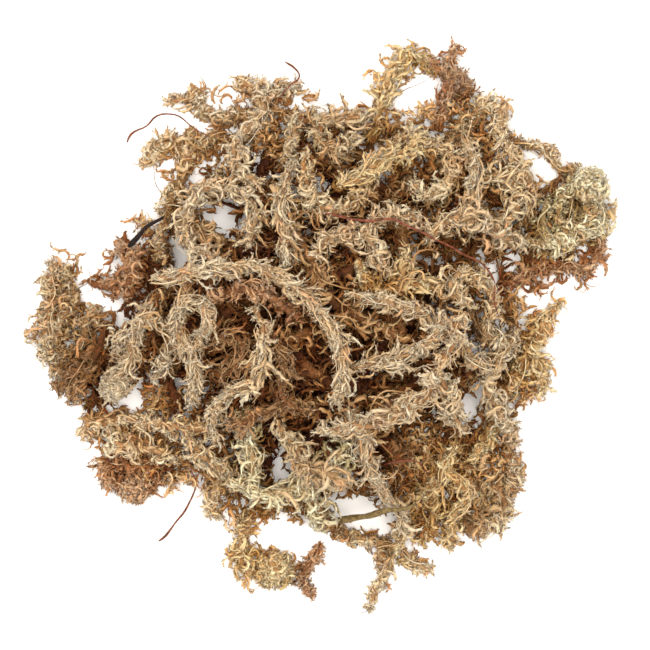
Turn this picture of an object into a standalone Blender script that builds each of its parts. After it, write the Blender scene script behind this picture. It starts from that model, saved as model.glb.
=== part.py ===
"""A loose clump of dried sphagnum moss, as it lies on a table after it is shaken out of its bag.

The clump is a tangle of strands. Each strand is a limp stem with short, pointed branches all
round it, and some strands end in a capitulum, the dense tuft of young branches at the growing
tip. Dark wiry roots, a dead twig and a flake of bark are caught among them. The strands are laid
one after another, lowest first, and every stem takes its height from what lies under it.

Places are millimetres on the table, from the middle of the clump: +X right, +Y away, +Z up.
"""
import math
import zlib

import bmesh
import bpy
import numpy as np
from mathutils import Matrix, Vector
from mathutils.bvhtree import BVHTree

MM = 0.001

# Driving sizes, in millimetres
CLUMP_WIDTH = 187.0
CROWN_HEIGHT = 30.0
STEM_GAP = 3.0
CORE_RADIUS = 2.3
BRANCH_LENGTH = 9.5
BRANCH_THICKNESS = 3.0
BRANCH_ROOT = 1.4
BRANCH_LEAN = (22, 52)

# How a stem is drawn and laid
STEP = 1.5
CELL = 1.0
TABLE_REACH = 110.0
FLOOR_RISE = 1.7
SAG = 0.02
STEEPEST = 0.9
BEND_RADIUS = 5.0
SHARPEST_TURN = 0.40
STEM_SIDES = 4
RING_SPACING = 10.0
RING_TURN = 42.0

# How branches are set on a stem
GOLDEN_ANGLE = math.pi * (3 - math.sqrt(5))
FASCICLE_SPACING = 5.8
HEAD_BRANCHES = 18
HEAD_BRANCH = 6.5
CLEARANCE = 0.45
TRIES = 14
NEARBY = 24.0

# Shares of the triangles to keep after the union, which leaves many slivers, best first
KEPT_TRIANGLES = (0.5, 0.53, 0.56, 0.59, 0.62, 0.66, 0.7, 0.8)

# The crown is the dome that the top strands follow: middle and half widths
CROWN_MIDDLE = (2.0, 2.0)
CROWN_REACH = (72.0, 70.0)

# Finish: colour, roughness
FINISHES = {
    "straw": ((0.58, 0.44, 0.26), 0.85),
    "pale": ((0.70, 0.58, 0.40), 0.80),
    "golden": ((0.60, 0.41, 0.19), 0.85),
    "rust": ((0.38, 0.17, 0.08), 0.90),
    "brown": ((0.21, 0.12, 0.06), 0.95),
    "ashen": ((0.42, 0.34, 0.23), 0.90),
    "green": ((0.56, 0.49, 0.25), 0.85),
    "root": ((0.07, 0.03, 0.02), 0.60),
    "twig": ((0.22, 0.15, 0.07), 0.70),
    "bark": ((0.05, 0.035, 0.03), 0.80),
}


def strand(finish, tier, *routes, head=0.0, leafy=1.0, lift=0.0):
    """One piece of moss: its finish, how high in the heap it lies from 0 to 1, and its routes.

    The first route is the main stem, and the others are side shoots that start on it. head is
    the radius of the capitulum's core at the end of the main stem, leafy the share of the usual
    branches, and lift how far the stem stands off the table by its own spring.
    """
    return {"finish": finish, "tier": tier, "routes": routes, "head": head, "leafy": leafy, "lift": lift}


STRANDS = {
    # Rim strands, which lie on the table round the edge of the clump
    "left_tuft": strand(
        "ashen", 0.3,
        [(-88, 22), (-88, 13), (-90, 4), (-89, -6), (-85, -14), (-79, -17)],
        [(-89, -4), (-84, 4), (-82, 12), (-85, 20)],
        [(-86, -12), (-79, -5), (-77, 4), (-73, 8)],
        leafy=1.3, lift=3.0),
    "left_tuft_shade": strand(
        "brown", 0.3,
        [(-71, 2), (-73, -7), (-77, -15), (-81, -22)],
        [(-73, -6), (-69, -11), (-71, -18), (-76, -24)],
        [(-75, -12), (-81, -13), (-86, -19)],
        leafy=1.2),
    "rust_curl": strand(
        "rust", 0.0, [(-77, 16), (-71, 14), (-64, 15), (-60, 20), (-62, 25), (-68, 26)]),
    "low_left_mat": strand(
        "straw", 0.2,
        [(-79, -34), (-72, -30), (-64, -29), (-55, -30), (-46, -31), (-38, -30)],
        [(-70, -30), (-68, -37), (-60, -38), (-52, -39), (-45, -43)],
        leafy=1.2, lift=1.0),
    "rust_ring": strand(
        "rust", 0.0,
        [(-50, -44), (-58, -43), (-68, -41), (-73, -45), (-69, -50), (-60, -51)],
        [(-66, -42), (-60, -46), (-53, -48)],
        head=3.2, leafy=1.1),
    "low_left_fringe": strand(
        "straw", 0.2,
        [(-44, -36), (-38, -40), (-34, -46), (-36, -53), (-35, -60)],
        [(-36, -43), (-31, -46), (-29, -53)]),
    "gold_head": strand(
        "golden", 0.0, [(-8, -53), (-17, -56), (-24, -60), (-27, -68), (-26, -76), (-21, -79), (-15, -76)],
        head=5.0, leafy=1.1),
    "low_bridge": strand(
        "green", 0.35,
        [(-30, -47), (-22, -52), (-12, -51), (-3, -49), (3, -43), (6, -36)],
        [(-8, -50), (-3, -56), (-1, -62)],
        [(-22, -51), (-23, -43), (-24, -34), (-26, -26)]),
    "bottom_rope": strand(
        "straw", 0.0,
        [(0, -56), (1, -63), (7, -66), (15, -68), (23, -71), (29, -75), (34, -78)],
        [(18, -69), (19, -76), (17, -83), (15, -89)],
        leafy=1.1),
    "rust_drop": strand("rust", 0.0, [(-2, -68), (-2, -73), (-6, -76), (-7, -81), (-5, -86)], leafy=0.9),
    "lower_right_fan": strand(
        "golden", 0.35,
        [(43, -36), (38, -44), (36, -52), (34, -60), (32, -68)],
        [(38, -45), (45, -52), (42, -60), (40, -69)],
        [(37, -48), (30, -54), (26, -62), (24, -68)],
        leafy=1.2, lift=1.0),
    "corner_tuft": strand(
        "ashen", 0.2,
        [(44, -49), (50, -50), (57, -53), (57, -60), (51, -64), (46, -63)],
        [(57, -55), (61, -49), (60, -41), (61, -33)],
        [(52, -50), (49, -57), (51, -66)],
        leafy=1.3, lift=1.0),
    "green_rim": strand(
        "rust", 0.15,
        [(57, 13), (65, 19), (74, 21), (82, 21), (88, 24), (88, 30)],
        [(70, 21), (67, 26), (61, 27)],
        leafy=0.9),
    "green_head": strand(
        "green", 0.2,
        [(62, 29), (70, 28), (78, 30), (84, 34), (87, 41), (85, 48)],
        [(77, 30), (75, 38), (78, 45), (83, 51)],
        [(80, 31), (82, 37), (80, 43)],
        [(72, 28), (70, 36), (71, 42)],
        [(82, 33), (88, 33), (91, 39)],
        head=4.5, leafy=1.3, lift=4.0),
    "thin_link": strand(
        "straw", 0.1,
        [(57, 66), (63, 61), (69, 59), (74, 55), (77, 51), (81, 52)],
        [(76, 51), (73, 46), (67, 45)],
        leafy=0.7, lift=2.0),
    "loop_left": strand(
        "golden", 0.0,
        [(15, 60), (17, 68), (19, 76), (22, 84), (27, 90)],
        [(27, 89), (32, 88), (36, 84)],
        leafy=1.5, lift=2.0),
    "rust_pillar": strand(
        "rust", 0.1,
        [(35, 65), (38, 71), (40, 78), (39, 84), (34, 86)],
        [(40, 80), (41, 86), (41, 92)],
        [(40, 82), (45, 84), (47, 79), (44, 74)],
        leafy=0.9, lift=1.0),
    "top_left_tip": strand(
        "pale", 0.2,
        [(-44, 80), (-42, 75), (-38, 71), (-31, 69), (-25, 71)],
        [(-42, 75), (-47, 75), (-50, 74)]),
    "left_column": strand(
        "straw", 0.3,
        [(-43, 66), (-46, 58), (-45, 50), (-49, 44), (-51, 36), (-54, 29), (-51, 22)],
        [(-46, 60), (-51, 61), (-55, 60), (-57, 55)],
        [(-46, 56), (-40, 60), (-34, 62), (-28, 62)],
        leafy=1.3),
    "top_middle": strand(
        "ashen", 0.35,
        [(-14, 70), (-6, 68), (2, 67), (9, 69), (13, 68)],
        [(-10, 69), (-10, 61), (-13, 54)],
        [(-2, 68), (-1, 61), (3, 56), (8, 61)],
        leafy=1.1),
    # Middle strands, which the top ones partly hide
    "left_column_inner": strand(
        "pale", 0.45,
        [(-33, 52), (-39, 46), (-44, 38), (-45, 31), (-40, 25), (-33, 22)],
        [(-41, 43), (-35, 45), (-29, 45), (-24, 42), (-22, 35), (-24, 27)]),
    "swirl": strand("brown", 0.45, [(-39, -5), (-34, -1), (-27, -3), (-26, -10), (-32, -14), (-38, -11)]),
    "pale_plume": strand(
        "pale", 0.5,
        [(-48, 13), (-55, 9), (-60, 1), (-62, -8), (-66, -15), (-68, -19)],
        [(-57, 5), (-51, 2), (-49, -5), (-53, -13)],
        [(-60, -2), (-64, -3), (-67, -9)],
        head=3.6, leafy=1.2, lift=3.0),
    "upper_right_crest": strand(
        "straw", 0.45,
        [(43, 64), (48, 70), (54, 74), (57, 68), (57, 60), (63, 53), (66, 45), (64, 36)],
        [(46, 68), (41, 61), (38, 54)],
        leafy=1.2),
    "right_sweep": strand(
        "golden", 0.5,
        [(76, 9), (72, 4), (68, -2), (64, -10), (59, -18), (55, -26), (52, -34), (48, -41)],
        [(66, -6), (69, -12), (71, -19)],
        leafy=1.3, lift=1.0),
    "right_sweep_inner": strand(
        "pale", 0.55,
        [(63, 1), (59, -5), (54, -12), (52, -20), (57, -28), (60, -34)],
        [(60, -4), (52, -1), (47, 5), (45, 12)],
        [(54, -12), (47, -10), (43, -3)],
        leafy=0.9),
    "top_left_crest": strand(
        "pale", 0.5,
        [(-28, 82), (-23, 78), (-20, 72), (-23, 66), (-29, 60), (-28, 53), (-22, 47)],
        [(-20, 73), (-15, 77), (-9, 79)],
        leafy=1.3),
    "pale_reed": strand("pale", 0.6, [(-9, 54), (-13, 47), (-14, 39), (-13, 31), (-12, 23)]),
    "south_west_rope": strand(
        "ashen", 0.65, [(-15, -28), (-10, -36), (-7, -43), (0, -44), (5, -48)]),
    "low_shade": strand(
        "brown", 0.6, [(-16, 0), (-13, -9), (-14, -18), (-9, -25), (-1, -26)],
        [(-10, -24), (-20, -26), (-28, -30)]),
    "upper_ring": strand(
        "straw", 0.7, [(49, 46), (54, 50), (60, 48), (62, 41), (57, 35), (51, 36), (48, 41)]),
    "north_tangle": strand(
        "straw", 0.7,
        [(19, 59), (27, 62), (35, 60), (41, 55), (40, 47), (34, 43), (28, 47)], leafy=1.2),
    "tan_uprights": strand(
        "golden", 0.75,
        [(11, 23), (13, 15), (19, 11), (24, 16), (26, 24)],
        [(21, 12), (28, 14), (34, 16), (38, 12)]),
    # Top strands, which show whole
    "centre_ring": strand("straw", 0.8, [(-6, 55), (-6, 46), (0, 39), (8, 39), (13, 45), (12, 53)]),
    "ring_left": strand(
        "pale", 0.8, [(-22, 8), (-20, 0), (-19, -9), (-22, -16), (-29, -20), (-35, -24), (-35, -33)]),
    "rust_band": strand("rust", 0.8, [(-39, 11), (-31, 13), (-22, 12), (-14, 9), (-9, 3)], leafy=1.2),
    "pale_column": strand("pale", 0.8, [(44, 63), (47, 55), (48, 47), (46, 40), (47, 33)]),
    "gold_diagonal": strand("golden", 0.85, [(4, 45), (11, 49), (17, 53), (24, 57), (30, 61)], leafy=1.2),
    "curl_disc": strand("straw", 0.85, [(53, 4), (52, 12), (47, 18), (41, 17), (40, 11), (45, 9)], leafy=1.2),
    "centre_curl": strand(
        "pale", 0.9,
        [(-3, 24), (2, 30), (9, 31), (15, 27), (20, 20)],
        [(11, 31), (17, 36), (24, 37), (31, 34)]),
    "white_hump": strand("pale", 0.9, [(33, 29), (38, 34), (44, 36), (50, 34), (56, 30), (63, 28)]),
    "arch_descent": strand(
        "pale", 0.9,
        [(-41, 17), (-45, 10), (-47, 2), (-43, -6), (-41, -14), (-42, -22)],
        [(-45, 9), (-38, 9), (-37, 2), (-41, -5)],
        leafy=0.9),
    "centre_mass": strand("pale", 0.95, [(9, 12), (15, 9), (23, 8), (30, 6), (35, 0)], leafy=1.3),
    "south_rope": strand(
        "pale", 0.9, [(7, -24), (11, -32), (13, -41), (17, -49), (23, -56), (25, -62)], leafy=0.9),
    "vee": strand("pale", 0.95, [(8, -12), (16, -10), (24, -9), (32, -4), (37, 3)], leafy=0.9),
    "big_diagonal": strand(
        "pale", 1.0,
        [(43, 6), (40, -3), (36, -11), (33, -18), (26, -24), (18, -28), (9, -30), (-1, -31)],
        [(36, -12), (39, -21), (43, -31)],
        leafy=1.2),
    "great_arch": strand(
        "pale", 1.0,
        [(-54, 16), (-45, 18), (-36, 19), (-27, 20), (-18, 18), (-10, 14), (-4, 8), (2, 2), (5, -6),
         (6, -14), (4, -21)],
        leafy=1.2),
}

# The bed: strands of the inside, which show only in the dark gaps. A rule draws them.
BED_NODES = 5
BED_TIERS = (0.0, 0.12, 0.24, 0.36, 0.5)
BED_REACH = 57.0
BED_PACE = 7.0
BED_TURNS = (-0.6, -0.4, -0.2, 0.0, 0.2, 0.4, 0.6)

# Gaps through which the table shows: x, y and radius
WINDOWS = (
    (-30, 36, 7), (-46, 24, 5), (-42, 49, 5), (-65, -22, 7), (15, 58, 5),
    (28, 78, 8), (48, -22, 6), (-15, -45, 7), (-9, -65, 10), (12, -59, 6), (66, 38, 5),
)

# Roots and twigs: finish, radius, lift and route
WIRES = {
    "red_root": ("root", 0.55, 0.92, [(0, 37), (10, 35), (20, 35), (29, 32), (38, 27), (47, 23), (53, 17), (54, 9), (55, 2)]),
    "lower_red_root": ("root", 0.5, 0.8, [(19, -43), (25, -41), (30, -42), (33, -46)]),
    "left_root": ("root", 0.45, 0.0, [(-64, 61), (-63, 64), (-57, 67), (-55, 69), (-48, 70), (-43, 66), (-37, 62)]),
    "top_root": ("root", 0.45, 0.0, [(-13, 87), (-10, 85), (-6, 81), (-11, 80), (-15, 74)]),
    "bottom_root": ("root", 0.5, 0.0, [(-54, -68), (-48, -62), (-44, -56), (-42, -49), (-43, -42)]),
    "dead_twig": ("twig", 1.3, 0.0, [(4, -61), (12, -59), (21, -57), (29, -55)]),
    "charred_twig": ("bark", 1.1, 0.0, [(-63, 27), (-60, 30), (-57, 33), (-52, 37)]),
}
BARK_FLAKE = (-61.0, 33.5)
BARK_SIZE = (7.5, 3.2, 1.6)
BARK_TURN = -55.0

# Moves the finished clump so that its outline is centred on the origin
CENTRING = (0.3, 0.9)


# Drawing the stems on the table

def seeded(name):
    """The random numbers of one strand, which are the same in every run."""
    return np.random.default_rng(zlib.crc32(name.encode()))


def eased(path):
    """Smooths a path only where it turns more sharply than a stem can."""
    for _ in range(80):
        step = np.diff(path, axis=0)
        heading = np.unwrap(np.arctan2(step[:, 1], step[:, 0]))
        sharp = np.concatenate([[False], np.abs(np.diff(heading)) > SHARPEST_TURN, [False]])
        if not sharp.any():
            break
        near = sharp.copy()
        near[1:-1] |= sharp[2:] | sharp[:-2]
        near[[0, -1]] = False
        middle = np.zeros_like(path)
        middle[1:-1] = (path[:-2] + 2 * path[1:-1] + path[2:]) / 4
        path = np.where(near[:, None], middle, path)
    return path


def smooth_route(route, wander, rng):
    """Points every STEP along a Catmull-Rom curve through the route, with a slight wander."""
    points = np.array(route, dtype=float)
    padded = np.vstack([2 * points[0] - points[1], points, 2 * points[-1] - points[-2]])
    t = np.linspace(0, 1, 16, endpoint=False)[:, None]
    pieces = []
    for before, start, end, after in zip(padded, padded[1:], padded[2:], padded[3:]):
        bend = 2 * before - 5 * start + 4 * end - after
        twist = -before + 3 * start - 3 * end + after
        pieces.append(start + 0.5 * (t * (end - before) + t ** 2 * bend + t ** 3 * twist))
    dense = np.vstack(pieces + [points[-1:]])
    along = np.concatenate([[0.0], np.cumsum(np.linalg.norm(np.diff(dense, axis=0), axis=1))])
    count = max(4, int(round(along[-1] / STEP)) + 1)
    even = np.linspace(0, along[-1], count)
    path = np.column_stack([np.interp(even, along, dense[:, axis]) for axis in (0, 1)])
    tangent = np.gradient(path, axis=0)
    side = np.column_stack([-tangent[:, 1], tangent[:, 0]])
    side /= np.linalg.norm(side, axis=1)[:, None]
    phase = rng.uniform(0, 2 * math.pi, 2)
    sway = np.sin(even / 2.7 + phase[0]) + 0.6 * np.sin(even / 1.6 + phase[1])
    return eased(path + side * (wander * sway)[:, None])


def crown(places):
    """Height of the crown over places on the table: a flattened dome."""
    across = (places[:, 0] - CROWN_MIDDLE[0]) / CROWN_REACH[0]
    away = (places[:, 1] - CROWN_MIDDLE[1]) / CROWN_REACH[1]
    return CROWN_HEIGHT * np.clip(1 - across ** 2 - away ** 2, 0, 1) ** 0.6


class Heap:
    """Top of everything laid so far, as heights on a grid of cells over the table."""

    def __init__(self):
        self.axis = np.arange(-TABLE_REACH, TABLE_REACH + CELL, CELL)
        self.top = np.zeros((len(self.axis), len(self.axis)))

    def window(self, place, radius):
        """The cells within radius of a place, and the height of a ball's shell over each."""
        low = np.searchsorted(self.axis, place - radius)
        high = np.searchsorted(self.axis, place + radius)
        across = self.axis[low[0]:high[0]] - place[0]
        away = self.axis[low[1]:high[1]] - place[1]
        shell = radius ** 2 - across[:, None] ** 2 - away[None, :] ** 2
        return (slice(low[0], high[0]), slice(low[1], high[1])), shell

    def rest_height(self, place, radius):
        """Lowest height at which a ball of this radius touches nothing under it."""
        cells, shell = self.window(place, radius)
        inside = (shell > 0) & (self.top[cells] > 0)
        if not inside.any():
            return FLOOR_RISE
        return max(FLOOR_RISE, float((self.top[cells][inside] + np.sqrt(shell[inside])).max()))

    def add(self, points, radii):
        """Puts a stem's balls on the heap."""
        for point, radius in zip(points, radii):
            cells, shell = self.window(point[:2], radius)
            ball = np.where(shell > 0, point[2] + np.sqrt(np.clip(shell, 0, None)), 0)
            self.top[cells] = np.maximum(self.top[cells], ball)


def slope_limited(heights):
    """Raises heights until a stem can follow them: round over each top and never too steep."""
    index = np.arange(len(heights))
    distance = STEP * np.abs(index[:, None] - index[None, :])
    turn = math.atan(STEEPEST)
    straight_from = BEND_RADIUS * math.sin(turn)
    rounded = BEND_RADIUS - np.sqrt(BEND_RADIUS ** 2 - np.minimum(distance, straight_from) ** 2)
    fall = rounded + STEEPEST * np.maximum(distance - straight_from, 0)
    return (heights[None, :] - fall).max(axis=1)


def draped(heights):
    """Least heights over the given ones at which the stem sags between its supports.

    With the sag's parabola taken off, these are the upper hull of the heights.
    """
    index = np.arange(len(heights), dtype=float)
    parabola = SAG * index ** 2
    level = heights - parabola
    hull = []
    for i in range(len(level)):
        while len(hull) > 1:
            first, second = hull[-2], hull[-1]
            rise = (level[second] - level[first]) * (i - first)
            if rise > (level[i] - level[first]) * (second - first):
                break
            hull.pop()
        hull.append(i)
    return np.interp(index, hull, level[hull]) + parabola


def lay(heap, routes, wander, tier, radius, head, lift, rng):
    """Lays one strand on the heap and gives the points of its stems, main stem first."""
    flats = [smooth_route(route, wander, rng) for route in routes]
    joins = [None]
    for number in range(1, len(flats)):
        gaps = [np.linalg.norm(flat - flats[number][0], axis=1) for flat in flats[:number]]
        parent = min(range(number), key=lambda k: gaps[k].min())
        sample = int(gaps[parent].argmin())
        fade = np.clip(1 - np.arange(len(flats[number])) / 8, 0, 1)[:, None]
        flats[number] = eased(flats[number] + fade * (flats[parent][sample] - flats[number][0]))
        joins.append((parent, sample))
    girths = [np.full(len(flat), radius) for flat in flats]
    if head:
        reach = np.arange(len(girths[0]))[::-1] * STEP
        girths[0] = np.where(reach < 1.6 * head, np.maximum(radius, head + 0.8), girths[0])
    needs = []
    for flat, girth in zip(flats, girths):
        need = np.array([heap.rest_height(place, size) for place, size in zip(flat, girth)])
        spring = lift * (0.5 + 0.5 * np.sin(np.arange(len(flat)) * STEP / 9 + rng.uniform(0, 6.3)))
        need = np.maximum(need, np.maximum(tier * crown(flat), FLOOR_RISE + spring))
        needs.append(slope_limited(need))
    for number in range(len(flats) - 1, 0, -1):
        parent, sample = joins[number]
        needs[parent][sample] = max(needs[parent][sample], needs[number][0])
        needs[parent] = slope_limited(needs[parent])
    stems = []
    for number, flat in enumerate(flats):
        need = needs[number]
        if number:
            parent, sample = joins[number]
            need[0] = stems[parent][sample, 2]
            need = slope_limited(need)
        height = draped(need)
        stems.append(np.column_stack([flat, height]))
    for stem, girth in zip(stems, girths):
        heap.add(stem, girth)
    return stems, girths


# Building solid bodies

def frames(points):
    """Tangent and two crosswise directions at each point, turned as little as possible."""
    tangent = np.gradient(points, axis=0)
    tangent /= np.linalg.norm(tangent, axis=1)[:, None]
    up = np.array([0.0, 0.0, 1.0])
    if abs(tangent[0, 2]) > 0.9:
        up = np.array([1.0, 0.0, 0.0])
    side = np.cross(tangent[0], up)
    sides = []
    for direction in tangent:
        side = side - direction * side.dot(direction)
        side /= np.linalg.norm(side)
        sides.append(side)
    sides = np.array(sides)
    return tangent, sides, np.cross(tangent, sides)


def loft(name, points, radii, sides, turn, into):
    """A closed body through rings round the points; a radius of zero makes a pointed end."""
    _, across, over = frames(points)
    form = bmesh.new()
    rings = []
    for number, (point, radius) in enumerate(zip(points, radii)):
        if radius == 0:
            rings.append([form.verts.new(point * MM)])
            continue
        ring = []
        for step in range(sides):
            angle = turn + 2 * math.pi * step / sides
            offset = across[number] * math.cos(angle) + over[number] * math.sin(angle)
            ring.append(form.verts.new((point + offset * radius) * MM))
        rings.append(ring)
    for lower, upper in zip(rings, rings[1:]):
        for step in range(sides):
            after = (step + 1) % sides
            corners = [lower[step % len(lower)], lower[after % len(lower)],
                       upper[after % len(upper)], upper[step % len(upper)]]
            form.faces.new(list(dict.fromkeys(corners)))
    for ring in (rings[0], rings[-1]):
        if len(ring) > 1:
            form.faces.new(ring)
    bmesh.ops.recalc_face_normals(form, faces=form.faces)
    bmesh.ops.triangulate(form, faces=form.faces)
    mesh = bpy.data.meshes.new(name)
    form.to_mesh(mesh)
    form.free()
    thing = bpy.data.objects.new(name, mesh)
    into.objects.link(thing)
    return thing


def made_real(thing):
    """Applies the modifiers of an object."""
    bpy.context.view_layer.update()
    shaped = thing.evaluated_get(bpy.context.evaluated_depsgraph_get())
    mesh = bpy.data.meshes.new_from_object(shaped)
    thing.modifiers.clear()
    thing.data = mesh


def faults(mesh):
    """How many edges of a mesh are open or shared, and how many of its faces cross another."""
    form = bmesh.new()
    form.from_mesh(mesh)
    bmesh.ops.triangulate(form, faces=form.faces)
    form.faces.ensure_lookup_table()
    count = sum(not edge.is_manifold for edge in form.edges)
    corners = [{vertex.index for vertex in face.verts} for face in form.faces]
    tree = BVHTree.FromBMesh(form)
    for first, second in tree.overlap(tree):
        if first < second and not corners[first] & corners[second]:
            count += 1
    form.free()
    return count


def thinned(thing):
    """Drops triangles, most of them slivers of the union, as far as the body stays sound."""
    full = thing.data
    found = faults(full)
    for kept in KEPT_TRIANGLES:
        thinning = thing.modifiers.new("thinning", "DECIMATE")
        thinning.ratio = kept
        made_real(thing)
        if faults(thing.data) <= found:
            return
        thing.data = full


def fused(name, pieces, into):
    """Joins the bodies of one strand into one closed body with a Boolean union."""
    whole = pieces[0]
    rest = bpy.data.collections.new(name + "_pieces")
    bpy.context.scene.collection.children.link(rest)
    for piece in pieces[1:]:
        into.objects.unlink(piece)
        rest.objects.link(piece)
    if len(pieces) > 1:
        union = whole.modifiers.new("union", "BOOLEAN")
        union.operation = "UNION"
        union.operand_type = "COLLECTION"
        union.collection = rest
        union.solver = "MANIFOLD"
        made_real(whole)
        thinned(whole)
    for piece in list(rest.objects):
        bpy.data.objects.remove(piece)
    bpy.data.collections.remove(rest)
    whole.name = name
    return whole


def cut_flat(thing, cutter):
    """Cuts away what is below the table, which leaves flat places to rest on."""
    lowest = min(vertex.co.z for vertex in thing.data.vertices)
    if lowest < 0:
        trim = thing.modifiers.new("table", "BOOLEAN")
        trim.operation = "DIFFERENCE"
        trim.object = cutter
        trim.solver = "MANIFOLD"
        made_real(thing)


def centred(thing):
    """Moves a body with the whole clump, so that the origin is under the clump's middle."""
    thing.data.transform(Matrix.Translation(Vector((*CENTRING, 0.0)) * MM))


def finished(thing, finish):
    """Gives a node its own material."""
    colour, roughness = FINISHES[finish]
    material = bpy.data.materials.new(thing.name + "_" + finish)
    material.use_nodes = True
    surface = material.node_tree.nodes["Principled BSDF"]
    surface.inputs["Base Color"].default_value = (*colour, 1.0)
    surface.inputs["Roughness"].default_value = roughness
    thing.data.materials.clear()
    thing.data.materials.append(material)


# Stems and branches

def ring_places(points):
    """Samples at which a stem gets a ring: every RING_SPACING, and closer where it bends."""
    tangent = frames(points)[0]
    turned = np.degrees(np.arccos(np.clip((tangent[1:] * tangent[:-1]).sum(axis=1), -1, 1)))
    progress = np.cumsum(STEP / RING_SPACING + turned / RING_TURN)
    count = max(2, int(round(progress[-1])))
    marks = np.linspace(0, progress[-1], count + 1)
    picked = np.searchsorted(np.concatenate([[0], progress]), marks)
    return np.unique(np.clip(picked, 0, len(points) - 1))


class Crowd:
    """Balls along every stem and branch, to keep new branches clear of them."""

    def __init__(self):
        self.centres = np.zeros((0, 3))
        self.radii = np.zeros(0)
        self.owners = np.zeros(0, dtype=int)

    def add(self, centres, radii, owner):
        self.centres = np.vstack([self.centres, centres])
        self.radii = np.concatenate([self.radii, radii])
        self.owners = np.concatenate([self.owners, np.full(len(radii), owner)])

    def near(self, place):
        close = np.linalg.norm(self.centres - place, axis=1) < NEARBY
        return self.centres[close], self.radii[close], self.owners[close]


def branch_candidate(root, directions, angle, rng, length, droop):
    """Ring points of one branch: its root, its middle and its tip."""
    tangent, across, over = directions
    lean = math.radians(rng.uniform(*BRANCH_LEAN))
    outward = across * math.cos(angle) + over * math.sin(angle)
    heading = tangent * math.cos(lean) + outward * math.sin(lean)
    curl = outward * rng.uniform(-0.1, 0.35) + np.array([0, 0, -droop])
    middle = root + heading * length * 0.45 + curl * length * 0.08
    tip = root + heading * length + curl * length * -0.15 + np.array([0, 0, -droop * length * 0.2])
    return np.array([root, middle, tip])


def balls_of(branch, thickness):
    """Balls that fill a branch, which is thickest at its middle."""
    share = np.linspace(0.12, 1, 7)
    centres = np.column_stack([np.interp(share, [0, 0.45, 1], branch[:, axis]) for axis in range(3)])
    radii = np.interp(share, [0, 0.45, 1], [BRANCH_ROOT / 2, thickness / 2, 0.1])
    return centres, radii


def clear_branch(crowd, owner, root, directions, angle, rng, length):
    """The best of several tries at a branch, or nothing where there is no room."""
    centres, radii, owners = crowd.near(root)
    others = owners != owner
    best = None
    best_score = 0
    for number in range(TRIES):
        size = length * rng.uniform(0.8, 1.15) * (1 - 0.03 * number)
        turned = angle + rng.normal(0, 0.25 + 0.12 * number)
        branch = branch_candidate(root, directions, turned, rng, size, rng.uniform(-0.1, 0.5))
        own_centres, own_radii = balls_of(branch, BRANCH_THICKNESS)
        if (own_centres[:, 2] - own_radii).min() < 0.05:
            continue
        gaps = np.linalg.norm(own_centres[:, None] - centres[None], axis=2) - own_radii[:, None] - radii[None]
        if others.any() and gaps[:, others].min() < CLEARANCE:
            continue
        kin = gaps[3:, ~others]
        score = 1 + min(4.0, float(kin.min())) if kin.size else 5.0
        score = max(score, 0.05) * (1 + 0.1 * rng.random())
        if score > best_score:
            best, best_score = branch, score
    return best


def strand_body(name, owner, stems, cores, spec, crowd, into):
    """Stems, side branches and capitulum of one strand, fused into one body."""
    rng = seeded(name + " branches")
    pieces = []
    for number, (stem, core) in enumerate(zip(stems, cores)):
        places = ring_places(stem)
        radii = core[places].copy()
        first_end = 0.55 if number == 0 else 1.0
        radii[0] = min(radii[0], CORE_RADIUS) * first_end
        radii[-1] = min(radii[-1], CORE_RADIUS) * 0.4
        pieces.append(loft(name, stem[places], radii, STEM_SIDES, rng.uniform(0, 1.5), into))
    angle = rng.uniform(0, 6.3)
    for number, (stem, core) in enumerate(zip(stems, cores)):
        tangent, across, over = frames(stem)
        spacing = FASCICLE_SPACING / spec["leafy"]
        length_here = (len(stem) - 1) * STEP
        count = max(1, int(length_here / spacing))
        for mark in np.linspace(0.02, 1.0, count):
            sample = min(len(stem) - 1, int(mark * (len(stem) - 1)))
            angle += GOLDEN_ANGLE
            root = stem[sample]
            directions = (tangent[sample], across[sample], over[sample])
            branch = clear_branch(crowd, owner, root, directions, angle, rng, BRANCH_LENGTH)
            if branch is None:
                continue
            pieces.append(branch_body(name, branch, rng, into))
            crowd.add(*balls_of(branch, BRANCH_THICKNESS), owner)
    if spec["head"]:
        pieces += head_body(name, owner, stems[0], spec["head"], crowd, rng, into)
    return fused(name, pieces, into)


def branch_body(name, branch, rng, into):
    """One branch as a three-sided needle."""
    radii = [BRANCH_ROOT / 2, BRANCH_THICKNESS / 2, 0]
    return loft(name + "_branch", branch, radii, 3, rng.uniform(0, 2), into)


def head_body(name, owner, stem, head, crowd, rng, into):
    """The capitulum: a core, and young branches spread evenly over it in all directions."""
    middle = stem[-2]
    bpy.ops.mesh.primitive_ico_sphere_add(subdivisions=2, radius=head * MM, location=(0, 0, 0))
    core = bpy.context.object
    core.name = name + "_head"
    core.data.transform(Matrix.Translation(Vector(middle * MM)))
    for collection in list(core.users_collection):
        collection.objects.unlink(core)
    into.objects.link(core)
    pieces = [core]
    for number in range(HEAD_BRANCHES):
        height = 1 - 2 * (number + 0.5) / HEAD_BRANCHES
        ring = math.sqrt(1 - height ** 2)
        angle = number * GOLDEN_ANGLE
        out = np.array([ring * math.cos(angle), ring * math.sin(angle), height])
        crosswise = np.array([-math.sin(angle), math.cos(angle), 0])
        directions = (out, crosswise, np.cross(out, crosswise))
        branch = clear_branch(crowd, owner, middle + out * head * 0.55, directions, angle, rng, HEAD_BRANCH)
        if branch is not None:
            pieces.append(branch_body(name, branch, rng, into))
            crowd.add(*balls_of(branch, BRANCH_THICKNESS), owner)
    return pieces


def trouble(place):
    """How unwelcome a bed strand is at a place: in a window, or outside the clump's middle."""
    cost = max(0.0, math.hypot(*place) - BED_REACH)
    for x, y, radius in WINDOWS:
        cost += max(0.0, radius + 4.5 - math.hypot(place[0] - x, place[1] - y))
    return cost


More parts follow.
